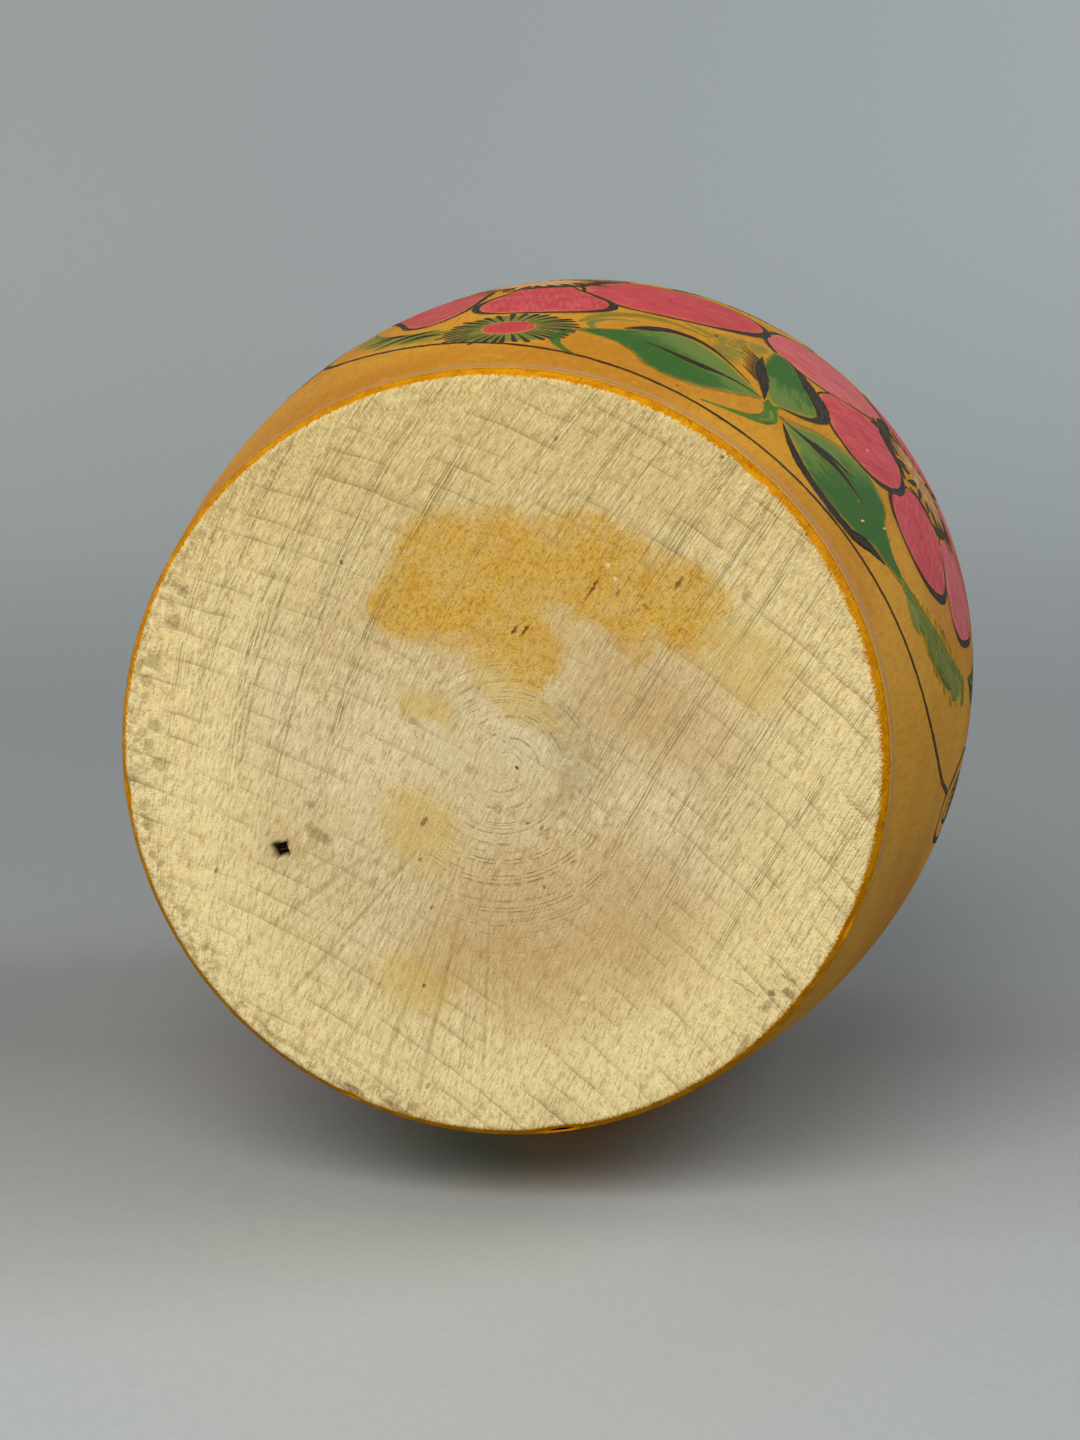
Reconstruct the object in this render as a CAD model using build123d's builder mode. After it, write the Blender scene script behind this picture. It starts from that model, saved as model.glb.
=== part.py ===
"""A turned wooden bowl with its lid: a barrel-shaped bowl, a drop-in lid and a glued knob.

Millimetres, +Z up, origin at the centre of the flat face that the bowl stands on.
Every piece is lathe work about the Z axis, so each one is a half section turned through a full circle.
"""

import os

from build123d import *

# ---------------------------------------------------------------- driving dimensions
# Outside of the bowl.
BASE_RADIUS = 39.0  # the bare wooden face it stands on
BEVEL_WIDTH = 1.0  # the lathe bevel between that face and the wall
BEVEL_HEIGHT = 1.3
BELLY_RADIUS = 48.2
BELLY_HEIGHT = 69.0
RIM_RADIUS = 43.4
RIM_SHOULDER_HEIGHT = 105.0  # where the barrel curve ends and the rim begins
BOWL_HEIGHT = 107.0

# Inside of the bowl.
WALL = 5.6
FLOOR_THICKNESS = 9.0
FLOOR_FLAT_RADIUS = 26.0
MOUTH_RADIUS = 37.6
MOUTH_BORE_DEPTH = 9.0
RIM_ROUNDING = 1.2

# Fullness of the turned curves: how far each one's handles reach.
FOOT_FLARE = 4.0  # outward lean of the wall as it leaves the bevel ...
FOOT_RUN = 21.6  # ... over this height
BELLY_RUN_DOWN = 25.0
BELLY_RUN_UP = 17.0
SHOULDER_FLARE = 3.4
SHOULDER_RUN = 8.5
UNDERCUT_FLARE = 4.0  # inside, from the mouth out to the belly ...
UNDERCUT_RUN = 5.0
INNER_RUN_UP = 14.0
INNER_RUN_DOWN = 32.0  # ... and from the belly down to the floor
FLOOR_SWEEP = 13.0

# Lid. It sits on the rim, and its spigot drops into the mouth.
LID_OVERHANG = 0.5
LID_EDGE_THICKNESS = 3.2
LID_EDGE_ROUNDING = 1.0
LID_RISE = 18.5  # from the rim to the seat of the knob
SPIGOT_CLEARANCE = 0.4  # a loose, easy fit of bare wood in bare wood
SPIGOT_LENGTH = 6.5
SPIGOT_WALL = 5.0
LID_CROWN_THICKNESS = 10.5  # left in the middle for the tenon
DOME_FLAT_RUN = 17.0  # the dome's outside leaves the knob nearly level ...
DOME_FLAT_DROP = 1.5
DOME_EDGE_LEAN = 2.0  # ... and meets the edge nearly upright
DOME_EDGE_RUN = 8.0
HOLLOW_EDGE_LEAN = 0.5
HOLLOW_EDGE_RUN = 9.0
HOLLOW_FLAT_RUN = 20.2

# Knob, glued into the lid by its tenon.
KNOB_COLLAR_RADIUS = 8.2
KNOB_COLLAR_HEIGHT = 1.6
KNOB_NECK_RADIUS = 5.6
KNOB_NECK_HEIGHT = 4.2
KNOB_RADIUS = 10.6
KNOB_HEIGHT = 18.5
TENON_RADIUS = 4.0
TENON_LENGTH = 8.5
TENON_ROUNDING = 0.6
KNOB_EQUATOR_RISE = 10.8  # from the lid to the widest ring of the ball
COLLAR_SWEEP = 0.4
NECK_WAIST = 0.6
NECK_RUN = 1.0
BALL_UNDER_FLARE = 1.5
BALL_UNDER_RUN = 2.0
BALL_RUN_DOWN = 3.6
BALL_RUN_UP = 4.6
BALL_CROWN = 6.4

# ---------------------------------------------------------------- worked out from them
FOOT_RADIUS = BASE_RADIUS + BEVEL_WIDTH
INNER_BELLY_RADIUS = BELLY_RADIUS - WALL
MOUTH_BORE_START = BOWL_HEIGHT - MOUTH_BORE_DEPTH
LID_RADIUS = RIM_RADIUS + LID_OVERHANG
LID_TOP = BOWL_HEIGHT + LID_RISE
LID_EDGE_TOP = BOWL_HEIGHT + LID_EDGE_THICKNESS
SPIGOT_RADIUS = MOUTH_RADIUS - SPIGOT_CLEARANCE
SPIGOT_BOTTOM = BOWL_HEIGHT - SPIGOT_LENGTH
LID_HOLLOW_RADIUS = SPIGOT_RADIUS - SPIGOT_WALL
LID_HOLLOW_TOP = LID_TOP - LID_CROWN_THICKNESS
KNOB_TOP = LID_TOP + KNOB_HEIGHT
KNOB_EQUATOR = LID_TOP + KNOB_EQUATOR_RISE
COLLAR_TOP = LID_TOP + KNOB_COLLAR_HEIGHT
NECK_TOP = LID_TOP + KNOB_NECK_HEIGHT
TENON_BOTTOM = LID_TOP - TENON_LENGTH
SAME_PLACE = 0.01  # two measures closer than this are the same


# ---------------------------------------------------------------- bowl
# One turning, end grain at the base. The wall leaves the bevel with a clear outward slope,
# stands upright at the belly and draws in again to the rim.
with BuildPart() as bowl:
    with BuildSketch(Plane.XZ):
        with BuildLine():
            Line((0, 0), (BASE_RADIUS, 0))
            Line((BASE_RADIUS, 0), (FOOT_RADIUS, BEVEL_HEIGHT))
            Bezier(
                (FOOT_RADIUS, BEVEL_HEIGHT),
                (FOOT_RADIUS + FOOT_FLARE, BEVEL_HEIGHT + FOOT_RUN),
                (BELLY_RADIUS, BELLY_HEIGHT - BELLY_RUN_DOWN),
                (BELLY_RADIUS, BELLY_HEIGHT),
            )
            Bezier(
                (BELLY_RADIUS, BELLY_HEIGHT),
                (BELLY_RADIUS, BELLY_HEIGHT + BELLY_RUN_UP),
                (RIM_RADIUS + SHOULDER_FLARE, RIM_SHOULDER_HEIGHT - SHOULDER_RUN),
                (RIM_RADIUS, RIM_SHOULDER_HEIGHT),
            )
            Line((RIM_RADIUS, RIM_SHOULDER_HEIGHT), (RIM_RADIUS, BOWL_HEIGHT))
            Line((RIM_RADIUS, BOWL_HEIGHT), (MOUTH_RADIUS, BOWL_HEIGHT))
            Line((MOUTH_RADIUS, BOWL_HEIGHT), (MOUTH_RADIUS, MOUTH_BORE_START))
            Bezier(
                (MOUTH_RADIUS, MOUTH_BORE_START),
                (MOUTH_RADIUS + UNDERCUT_FLARE, MOUTH_BORE_START - UNDERCUT_RUN),
                (INNER_BELLY_RADIUS, BELLY_HEIGHT + INNER_RUN_UP),
                (INNER_BELLY_RADIUS, BELLY_HEIGHT),
            )
            Bezier(
                (INNER_BELLY_RADIUS, BELLY_HEIGHT),
                (INNER_BELLY_RADIUS, BELLY_HEIGHT - INNER_RUN_DOWN),
                (FLOOR_FLAT_RADIUS + FLOOR_SWEEP, FLOOR_THICKNESS),
                (FLOOR_FLAT_RADIUS, FLOOR_THICKNESS),
            )
            Line((FLOOR_FLAT_RADIUS, FLOOR_THICKNESS), (0, FLOOR_THICKNESS))
            Line((0, FLOOR_THICKNESS), (0, 0))
        make_face()
    revolve(axis=Axis.Z)
    rim_edges = bowl.edges().filter_by(GeomType.CIRCLE).group_by(Axis.Z)[-1]
    fillet(rim_edges, RIM_ROUNDING)

# ---------------------------------------------------------------- lid
# A thin dome. The spigot is the ring that drops into the mouth, and the underside is hollowed
# out inside it, leaving a thick crown for the knob's tenon.
with BuildPart() as lid:
    with BuildSketch(Plane.XZ):
        with BuildLine():
            Line((0, LID_HOLLOW_TOP), (0, LID_TOP))
            Line((0, LID_TOP), (KNOB_COLLAR_RADIUS, LID_TOP))
            Bezier(
                (KNOB_COLLAR_RADIUS, LID_TOP),
                (KNOB_COLLAR_RADIUS + DOME_FLAT_RUN, LID_TOP - DOME_FLAT_DROP),
                (LID_RADIUS - DOME_EDGE_LEAN, LID_EDGE_TOP + DOME_EDGE_RUN),
                (LID_RADIUS, LID_EDGE_TOP),
            )
            Line((LID_RADIUS, LID_EDGE_TOP), (LID_RADIUS, BOWL_HEIGHT))
            Line((LID_RADIUS, BOWL_HEIGHT), (SPIGOT_RADIUS, BOWL_HEIGHT))
            Line((SPIGOT_RADIUS, BOWL_HEIGHT), (SPIGOT_RADIUS, SPIGOT_BOTTOM))
            Line((SPIGOT_RADIUS, SPIGOT_BOTTOM), (LID_HOLLOW_RADIUS, SPIGOT_BOTTOM))
            Bezier(
                (LID_HOLLOW_RADIUS, SPIGOT_BOTTOM),
                (LID_HOLLOW_RADIUS - HOLLOW_EDGE_LEAN, SPIGOT_BOTTOM + HOLLOW_EDGE_RUN),
                (HOLLOW_FLAT_RUN, LID_HOLLOW_TOP),
                (0, LID_HOLLOW_TOP),
            )
        make_face()
    revolve(axis=Axis.Z)
    lid_circles = lid.edges().filter_by(GeomType.CIRCLE)
    spigot_edge = lid_circles.group_by(Axis.Z)[0].sort_by(SortBy.RADIUS)[-1]
    seat_edge = lid_circles.filter_by(
        lambda edge: abs(edge.radius - LID_RADIUS) < SAME_PLACE
        and abs(edge.center().Z - BOWL_HEIGHT) < SAME_PLACE
    )
    fillet([spigot_edge, *seat_edge], LID_EDGE_ROUNDING)
    with Locations(Plane.XY.offset(LID_TOP)):
        Hole(radius=TENON_RADIUS, depth=TENON_LENGTH)

# ---------------------------------------------------------------- knob
# A ball on a waisted neck, with a small collar that covers the glue line.
with BuildPart() as knob:
    with BuildSketch(Plane.XZ):
        with BuildLine():
            Line((0, TENON_BOTTOM), (TENON_RADIUS, TENON_BOTTOM))
            Line((TENON_RADIUS, TENON_BOTTOM), (TENON_RADIUS, LID_TOP))
            Line((TENON_RADIUS, LID_TOP), (KNOB_COLLAR_RADIUS, LID_TOP))
            Line((KNOB_COLLAR_RADIUS, LID_TOP), (KNOB_COLLAR_RADIUS, COLLAR_TOP))
            Bezier(
                (KNOB_COLLAR_RADIUS, COLLAR_TOP),
                (KNOB_NECK_RADIUS, COLLAR_TOP + COLLAR_SWEEP),
                (KNOB_NECK_RADIUS - NECK_WAIST, NECK_TOP - NECK_RUN),
                (KNOB_NECK_RADIUS, NECK_TOP),
            )
            Bezier(
                (KNOB_NECK_RADIUS, NECK_TOP),
                (KNOB_NECK_RADIUS + BALL_UNDER_FLARE, NECK_TOP + BALL_UNDER_RUN),
                (KNOB_RADIUS, KNOB_EQUATOR - BALL_RUN_DOWN),
                (KNOB_RADIUS, KNOB_EQUATOR),
            )
            Bezier(
                (KNOB_RADIUS, KNOB_EQUATOR),
                (KNOB_RADIUS, KNOB_EQUATOR + BALL_RUN_UP),
                (BALL_CROWN, KNOB_TOP),
                (0, KNOB_TOP),
            )
            Line((0, KNOB_TOP), (0, TENON_BOTTOM))
        make_face()
    revolve(axis=Axis.Z)
    fillet(knob.edges().filter_by(GeomType.CIRCLE).group_by(Axis.Z)[0], TENON_ROUNDING)

# ---------------------------------------------------------------- write the pieces
bowl.part.label = "bowl"
lid.part.label = "lid"
knob.part.label = "knob"

os.makedirs("parts", exist_ok=True)
for piece in (bowl, lid, knob):
    export_step(piece.part, f"parts/{piece.part.label}.step")
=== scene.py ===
"""Looks for the turned and painted bowl: fine meshes for the bowl, lid and knob, bare end grain on the
foot, amber lacquer on the walls, and the hand-painted flowers as thin films of paint.

Row frame: origin at the centre of the base, +Z towards the lid, -Y the middle of the painted front.
The outlines below are in millimetres and become metres when a mesh is built.
"""

import math

import bpy
import numpy as np
from mathutils import Matrix, Vector


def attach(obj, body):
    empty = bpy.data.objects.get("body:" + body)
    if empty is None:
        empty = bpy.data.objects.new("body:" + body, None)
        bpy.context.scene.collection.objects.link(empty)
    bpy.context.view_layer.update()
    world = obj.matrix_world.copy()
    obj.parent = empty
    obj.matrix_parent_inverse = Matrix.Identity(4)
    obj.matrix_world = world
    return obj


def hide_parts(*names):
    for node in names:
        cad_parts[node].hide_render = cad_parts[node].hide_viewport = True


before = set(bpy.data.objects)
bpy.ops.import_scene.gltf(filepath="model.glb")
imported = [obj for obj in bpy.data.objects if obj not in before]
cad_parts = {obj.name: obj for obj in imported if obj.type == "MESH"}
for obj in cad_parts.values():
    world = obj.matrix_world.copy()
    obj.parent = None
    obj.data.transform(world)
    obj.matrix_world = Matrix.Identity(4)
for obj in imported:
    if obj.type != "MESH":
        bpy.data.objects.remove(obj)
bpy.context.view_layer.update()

MM = 0.001
TURN = 2 * math.pi

# ---------------------------------------------------------------- driving sizes, mm, as turned
BASE_RADIUS = 39.0
FOOT_RADIUS = 40.0
BEVEL_HEIGHT = 1.3
BELLY_RADIUS = 48.2
BELLY_HEIGHT = 69.0
RIM_RADIUS = 43.4
RIM_SHOULDER_HEIGHT = 105.0
BOWL_HEIGHT = 107.0
MOUTH_RADIUS = 37.6
MOUTH_BORE_START = 98.0
INNER_BELLY_RADIUS = 42.6
FLOOR_THICKNESS = 9.0
FLOOR_FLAT_RADIUS = 26.0
RIM_ROUNDING = 1.2
LID_RADIUS = 43.9
LID_EDGE_TOP = 110.2
LID_TOP = 125.5
LID_HOLLOW_TOP = 115.0
SPIGOT_RADIUS = 37.2
SPIGOT_BOTTOM = 100.5
LID_HOLLOW_RADIUS = 32.2
LID_ROUNDING = 1.0
KNOB_RADIUS = 10.6
KNOB_COLLAR_RADIUS = 8.2
KNOB_NECK_RADIUS = 5.6
KNOB_EQUATOR = LID_TOP + 10.8
KNOB_TOP = LID_TOP + 18.5

HOLE = (-14.2, 20.4)  # the nail hole in the base
HOLE_HALF_DIAGONAL = 1.15
HOLE_SLOPE = 0.25  # its sides fall over this width
HOLE_DEPTH = 1.2

PAINT_ROOM = 0.12  # the lacquered wood is this far inside the CAD surface, and the paint fills it
FILM = 0.012  # each coat of paint stands this much above the one before
SKIRT = 0.03  # the edges of the paint go this far into the lacquer
SEGMENTS = 400  # round the bowl and the lid
FINE_SEGMENTS = 600  # round the bare foot
KNOB_SEGMENTS = 160
FACE_RINGS = 112  # from the middle of the bare face to its edge
WALL_DEGREE = 0.80  # mm to a degree round the wall
LID_DEGREE = 0.46  # mm to a degree round the lid's wreath
ROSE_DEGREE = 0.44  # mm to a degree at the middles of the wreath's roses


# ---------------------------------------------------------------- curves
def srgb(red, green, blue):
    """A display colour as the linear one that shaders take."""
    linear = [c / 12.92 if c <= 0.04045 else ((c + 0.055) / 1.055) ** 2.4 for c in (red, green, blue)]
    return (*linear, 1.0)


def bezier(*points, steps=40):
    """Points along one cubic Bezier curve, both ends included."""
    t = np.linspace(0, 1, steps + 1)[:, None]
    a, b, c, d = (np.array(p, float) for p in points)
    return (1 - t) ** 3 * a + 3 * (1 - t) ** 2 * t * b + 3 * (1 - t) * t**2 * c + t**3 * d


def straight(start, end, steps=1):
    return np.linspace(start, end, steps + 1)


def quarter(centre, radius, start, end, steps=6):
    """An arc in the half section, from one angle to another, in degrees."""
    turn = np.radians(np.linspace(start, end, steps + 1))
    return np.array(centre) + radius * np.stack([np.cos(turn), np.sin(turn)], 1)


def outline(*runs):
    """Runs of points joined end to end, without doubles."""
    joined = np.vstack(runs)
    gap = np.linalg.norm(np.diff(joined, axis=0), axis=1)
    return joined[np.concatenate([[True], gap > 1e-6])]


def smooth(points, steps, closed=False):
    """A Catmull-Rom curve through given points. Every column is carried along."""
    points = np.array(points, float)
    if closed:
        padded = np.vstack([points[-1:], points, points[:2]])
    else:
        padded = np.vstack([2 * points[0] - points[1], points, 2 * points[-1] - points[-2]])
    spans = len(padded) - 3
    at = np.linspace(0, spans, steps, endpoint=not closed)
    span = np.minimum(at.astype(int), spans - 1)
    t = (at - span)[:, None]
    a, b, c, d = (padded[span + i] for i in range(4))
    return 0.5 * (2 * b + (c - a) * t + (2 * a - 5 * b + 4 * c - d) * t**2 + (3 * b - a - 3 * c + d) * t**3)


WALL_OUTSIDE = outline(
    bezier(
        (FOOT_RADIUS, BEVEL_HEIGHT),
        (FOOT_RADIUS + 4.0, BEVEL_HEIGHT + 21.6),
        (BELLY_RADIUS, BELLY_HEIGHT - 25.0),
        (BELLY_RADIUS, BELLY_HEIGHT),
        steps=90,
    ),
    bezier(
        (BELLY_RADIUS, BELLY_HEIGHT),
        (BELLY_RADIUS, BELLY_HEIGHT + 17.0),
        (RIM_RADIUS + 3.4, RIM_SHOULDER_HEIGHT - 8.5),
        (RIM_RADIUS, RIM_SHOULDER_HEIGHT),
        steps=50,
    ),
)
LID_OUTSIDE = bezier(
    (KNOB_COLLAR_RADIUS, LID_TOP),
    (KNOB_COLLAR_RADIUS + 17.0, LID_TOP - 1.5),
    (LID_RADIUS - 2.0, LID_EDGE_TOP + 8.0),
    (LID_RADIUS, LID_EDGE_TOP),
    steps=60,
)


def wall_radius(height):
    """Radius of the bowl's outside at a height."""
    return np.interp(height, WALL_OUTSIDE[:, 1], WALL_OUTSIDE[:, 0])


def lid_height(radius):
    """Height of the lid's dome at a radius."""
    return np.interp(radius, LID_OUTSIDE[:, 0], LID_OUTSIDE[:, 1])


# ---------------------------------------------------------------- meshes
def make_object(name, points, faces, materials, body, values=None, face_materials=None):
    """A smooth mesh from points in millimetres, riding on a body. values are named numbers per point."""
    mesh = bpy.data.meshes.new(name)
    mesh.from_pydata((np.asarray(points) * MM).tolist(), [], faces)
    for material in materials:
        mesh.materials.append(material)
    if face_materials is not None:
        mesh.polygons.foreach_set("material_index", face_materials)
    mesh.polygons.foreach_set("use_smooth", [True] * len(faces))
    for label, numbers in (values or {}).items():
        attribute = mesh.attributes.new(label, "FLOAT", "POINT")
        attribute.data.foreach_set("value", np.asarray(numbers, np.float32))
    mesh.validate()
    made = bpy.data.objects.new(name, mesh)
    bpy.context.scene.collection.objects.link(made)
    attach(made, body)
    return made


def lathe(section, segments):
    """A half section, listed so that the wood is on its left, turned into points and quads."""
    section = np.asarray(section, float)
    on_axis = section[:, 0] < 1e-9
    turn = np.arange(segments) * TURN / segments
    points = []
    rows = []
    for (radius, height), single in zip(section, on_axis):
        start = len(points)
        if single:
            points.append((0.0, 0.0, height))
            rows.append(np.full(segments, start))
        else:
            ring = np.stack([radius * np.sin(turn), -radius * np.cos(turn), np.full(segments, height)], 1)
            points.extend(ring.tolist())
            rows.append(np.arange(start, start + segments))
    faces = []
    for low, high in zip(rows[:-1], rows[1:]):
        after_low, after_high = np.roll(low, -1), np.roll(high, -1)
        for corners in zip(low.tolist(), after_low.tolist(), after_high.tolist(), high.tolist()):
            faces.append(tuple(dict.fromkeys(corners)))
    return np.array(points), faces


# ---------------------------------------------------------------- shader nodes
class Value:
    """A number or a vector in a shader. It takes part in sums, products and powers."""

    def __init__(self, shader, socket):
        self.shader, self.socket = shader, socket

    def __add__(self, other):
        return self.shader.math("ADD", self, other)

    def __sub__(self, number):
        return self.shader.math("ADD", self, -number)

    def __mul__(self, other):
        return self.shader.math("MULTIPLY", self, other)

    def __pow__(self, exponent):
        return self.shader.math("POWER", self, exponent)


class Shader:
    """A material with short names for the nodes it is built from. Lengths in it are millimetres."""

    def __init__(self, name, roughness, coat=0.0, coat_roughness=0.2):
        self.material = bpy.data.materials.new(name)
        self.material.use_nodes = True
        self.tree = self.material.node_tree
        self.bsdf = self.tree.nodes["Principled BSDF"]
        self.bsdf.inputs["Roughness"].default_value = roughness
        self.bsdf.inputs["Specular IOR Level"].default_value = 0.0
        self.bsdf.inputs["Coat Weight"].default_value = coat
        self.bsdf.inputs["Coat Roughness"].default_value = coat_roughness
        place = Value(self, self.tree.nodes.new("ShaderNodeTexCoord").outputs["Object"])
        self.place = self.vector("SCALE", place, scale=1 / MM)
        split = self.tree.nodes.new("ShaderNodeSeparateXYZ")
        self.link(self.place, split.inputs[0])
        self.x, self.y, self.z = (Value(self, socket) for socket in split.outputs)
        self.radius = self.length(self.vector("MULTIPLY", self.place, (1, 1, 0)))

    def link(self, value, socket):
        if isinstance(value, Value):
            self.tree.links.new(value.socket, socket)
        else:
            socket.default_value = value

    def math(self, operation, a, b=0.0, clamp=False):
        node = self.tree.nodes.new("ShaderNodeMath")
        node.operation = operation
        node.use_clamp = clamp
        for value, socket in zip((a, b), node.inputs):
            self.link(value, socket)
        return Value(self, node.outputs[0])

    def vector(self, operation, a, b=(0, 0, 0), scale=1.0):
        node = self.tree.nodes.new("ShaderNodeVectorMath")
        node.operation = operation
        self.link(a, node.inputs[0])
        if operation == "SCALE":
            self.link(scale, node.inputs["Scale"])
        else:
            self.link(b, node.inputs[1])
        return Value(self, node.outputs["Vector"])

    def length(self, a):
        node = self.tree.nodes.new("ShaderNodeVectorMath")
        node.operation = "LENGTH"
        self.link(a, node.inputs[0])
        return Value(self, node.outputs["Value"])

    def combine(self, x, y, z):
        node = self.tree.nodes.new("ShaderNodeCombineXYZ")
        for value, socket in zip((x, y, z), node.inputs):
            self.link(value, socket)
        return Value(self, node.outputs[0])

    def noise(self, pitch, detail=2.0, roughness=0.5, place=None, stretch=(1, 1, 1)):
        """Noise with features about pitch mm across. stretch makes them longer along an axis."""
        node = self.tree.nodes.new("ShaderNodeTexNoise")
        place = self.place if place is None else place
        self.link(self.vector("MULTIPLY", place, tuple(1 / s for s in stretch)), node.inputs["Vector"])
        node.inputs["Scale"].default_value = 1 / pitch
        node.inputs["Detail"].default_value = detail
        node.inputs["Roughness"].default_value = roughness
        return Value(self, node.outputs["Fac"])

    def lines(self, along, pitch, detail=2.0, roughness=0.6):
        """Noise along one coordinate only: straight lines of uneven width and depth."""
        return self.noise(pitch, detail, roughness, place=self.combine(along, 0.0, 0.0))

    def cells(self, pitch, stretch=(1, 1, 1)):
        """Distance to the nearest of scattered spots, in cells, and a random number for each spot."""
        node = self.tree.nodes.new("ShaderNodeTexVoronoi")
        self.link(self.vector("MULTIPLY", self.place, tuple(1 / s for s in stretch)), node.inputs["Vector"])
        node.inputs["Scale"].default_value = 1 / pitch
        return Value(self, node.outputs["Distance"]), Value(self, node.outputs["Color"])

    def between(self, value, low, high, start=0.0, end=1.0):
        """start below low, end above high, and a smooth step in between. low may be the larger."""
        node = self.tree.nodes.new("ShaderNodeMapRange")
        node.interpolation_type = "SMOOTHSTEP"
        if low > high:
            low, high, start, end = high, low, end, start
        for number, socket in zip((value, low, high, start, end), node.inputs):
            self.link(number, socket)
        return Value(self, node.outputs[0])

    def mix(self, amount, a, b):
        node = self.tree.nodes.new("ShaderNodeMix")
        node.data_type = "RGBA"
        self.link(amount, node.inputs["Factor"])
        self.link(a, node.inputs["A"])
        self.link(b, node.inputs["B"])
        return Value(self, node.outputs["Result"])

    def most(self, *values):
        result = values[0]
        for value in values[1:]:
            result = self.math("MAXIMUM", result, value)
        return result

    def attribute(self, name):
        node = self.tree.nodes.new("ShaderNodeAttribute")
        node.attribute_name = name
        return Value(self, node.outputs["Fac"])

    def blob(self, centre, size, soft=0.5, place=None):
        """1 inside an ellipse on the base, 0 outside, soft over that share of its size."""
        place = self.place if place is None else place
        shifted = self.vector("SUBTRACT", place, (centre[0], centre[1], 0.0))
        scaled = self.vector("MULTIPLY", shifted, (1 / size[0], 1 / size[1], 0.0))
        return self.between(self.length(scaled), 1 + soft / 2, 1 - soft / 2)

    def relief(self, height, depth):
        """Bump from a height that runs 0 to 1, depth mm deep."""
        node = self.tree.nodes.new("ShaderNodeBump")
        node.inputs["Strength"].default_value = 1.0
        node.inputs["Distance"].default_value = depth * MM
        self.link(height, node.inputs["Height"])
        self.tree.links.new(node.outputs["Normal"], self.bsdf.inputs["Normal"])

    def finish(self, colour, roughness=None):
        self.link(colour, self.bsdf.inputs["Base Color"])
        if roughness is not None:
            self.link(roughness, self.bsdf.inputs["Roughness"])
        return self.material


def amber_ground(s):
    """The lacquered ground's colour: amber over pale wood, with the fibres running up the wall."""
    broad = s.noise(24, 2)
    fibres = s.noise(0.5, 3, 0.6, stretch=(1, 1, 14))
    mottle = s.noise(1.6, 3, 0.6)
    colour = s.mix(s.between(broad, 0.35, 0.7), srgb(0.74, 0.48, 0.07), srgb(0.81, 0.57, 0.12))
    colour = s.mix(s.between(fibres, 0.42, 0.70, 0.0, 0.34), colour, srgb(0.62, 0.39, 0.06))
    colour = s.mix(s.between(mottle, 0.5, 0.75, 0.0, 0.30), colour, srgb(0.86, 0.64, 0.22))
    distance, pick = s.cells(3.4, stretch=(1, 1, 2.2))
    chosen = s.math("GREATER_THAN", pick, 0.72)
    fleck = chosen * s.between(distance, 0.085, 0.05)
    return s.mix(fleck * 0.55, colour, srgb(0.38, 0.24, 0.08)), fibres


def amber_lacquer():
    s = Shader("amber_lacquer", 0.45, coat=0.20, coat_roughness=0.24)
    colour, fibres = amber_ground(s)
    # Above the bevel: a fine grey line, painted highlight on the arris, then a tan band and second line where
    # the coat is thin.
    ragged = s.z + (s.noise(2.5, 2) - 0.5) * 0.6
    arris_highlight = s.between(ragged, 1.35, 1.5) * s.between(ragged, 1.85, 1.65)
    band = s.between(ragged, 2.3, 2.6) * s.between(ragged, 3.7, 3.2)
    # Painted highlight: the line along the arris is lightened to grey in the colour itself.
    colour = s.mix(arris_highlight * 0.60, colour, srgb(0.72, 0.58, 0.42))
    colour = s.mix(band * 0.72, colour, srgb(0.68, 0.52, 0.36))
    ring = s.lines(s.z, 1.4, 3)
    s.relief(fibres * 0.35 + ring * 0.45 + s.noise(0.35, 2) * 0.25, 0.05)
    return s.finish(colour, s.between(s.noise(6, 3), 0.3, 0.75, 0.36, 0.52))


def inside_lacquer():
    """The inside: thinner, paler lacquer over the turning marks."""
    s = Shader("inside_lacquer", 0.45, coat=0.25, coat_roughness=0.35)
    colour, fibres = amber_ground(s)
    colour = s.mix(0.55, colour, srgb(0.86, 0.68, 0.38))
    tool_marks = s.lines(s.z + s.radius * 0.8, 0.7, 3)
    colour = s.mix(s.between(tool_marks, 0.35, 0.65, 0.25, 0.0), colour, srgb(0.62, 0.42, 0.18))
    s.relief(tool_marks + fibres * 0.3, 0.12)
    return s.finish(colour)


def paint(name, deep, light, streak_pitch=0.45, coverage=0.9, edge=0.86):
    """Hand paint under the lacquer. Streaks run along each stroke, and its edges thin out to the ground."""
    s = Shader(name, 0.45, coat=0.20, coat_roughness=0.24)
    ground, fibres = amber_ground(s)
    along, across, tone = (s.attribute(label) for label in ("along", "across", "tone"))
    hair = s.combine(across * (1 / streak_pitch), along * 0.22, tone * 9.0)
    streaks = s.noise(1.0, 3, 0.6, place=hair)
    patches = s.noise(3.2, 3, 0.6)
    fade = (s.attribute("blend") - 0.5) * 0.7
    shade = streaks * 0.55 + patches * 0.45 + (tone - 0.5) * 0.22 + fade
    colour = s.mix(s.between(shade, 0.36, 0.66), srgb(*deep), srgb(*light))
    rim = s.attribute("rim")
    wear = s.between(rim + (patches - 0.5) * 0.25, edge, 1.02) * 0.55
    thin = s.between(streaks, 0.62, 0.82, 0.0, 0.5)
    grain = s.between(fibres, 0.60, 0.78, 0.0, 0.22)
    bare = s.math("ADD", s.most(wear, thin, grain), 1.0 - coverage, clamp=True)
    colour = s.mix(bare, colour, ground)
    s.relief(streaks * 0.5 + fibres * 0.5, 0.03)
    return s.finish(colour)


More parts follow.
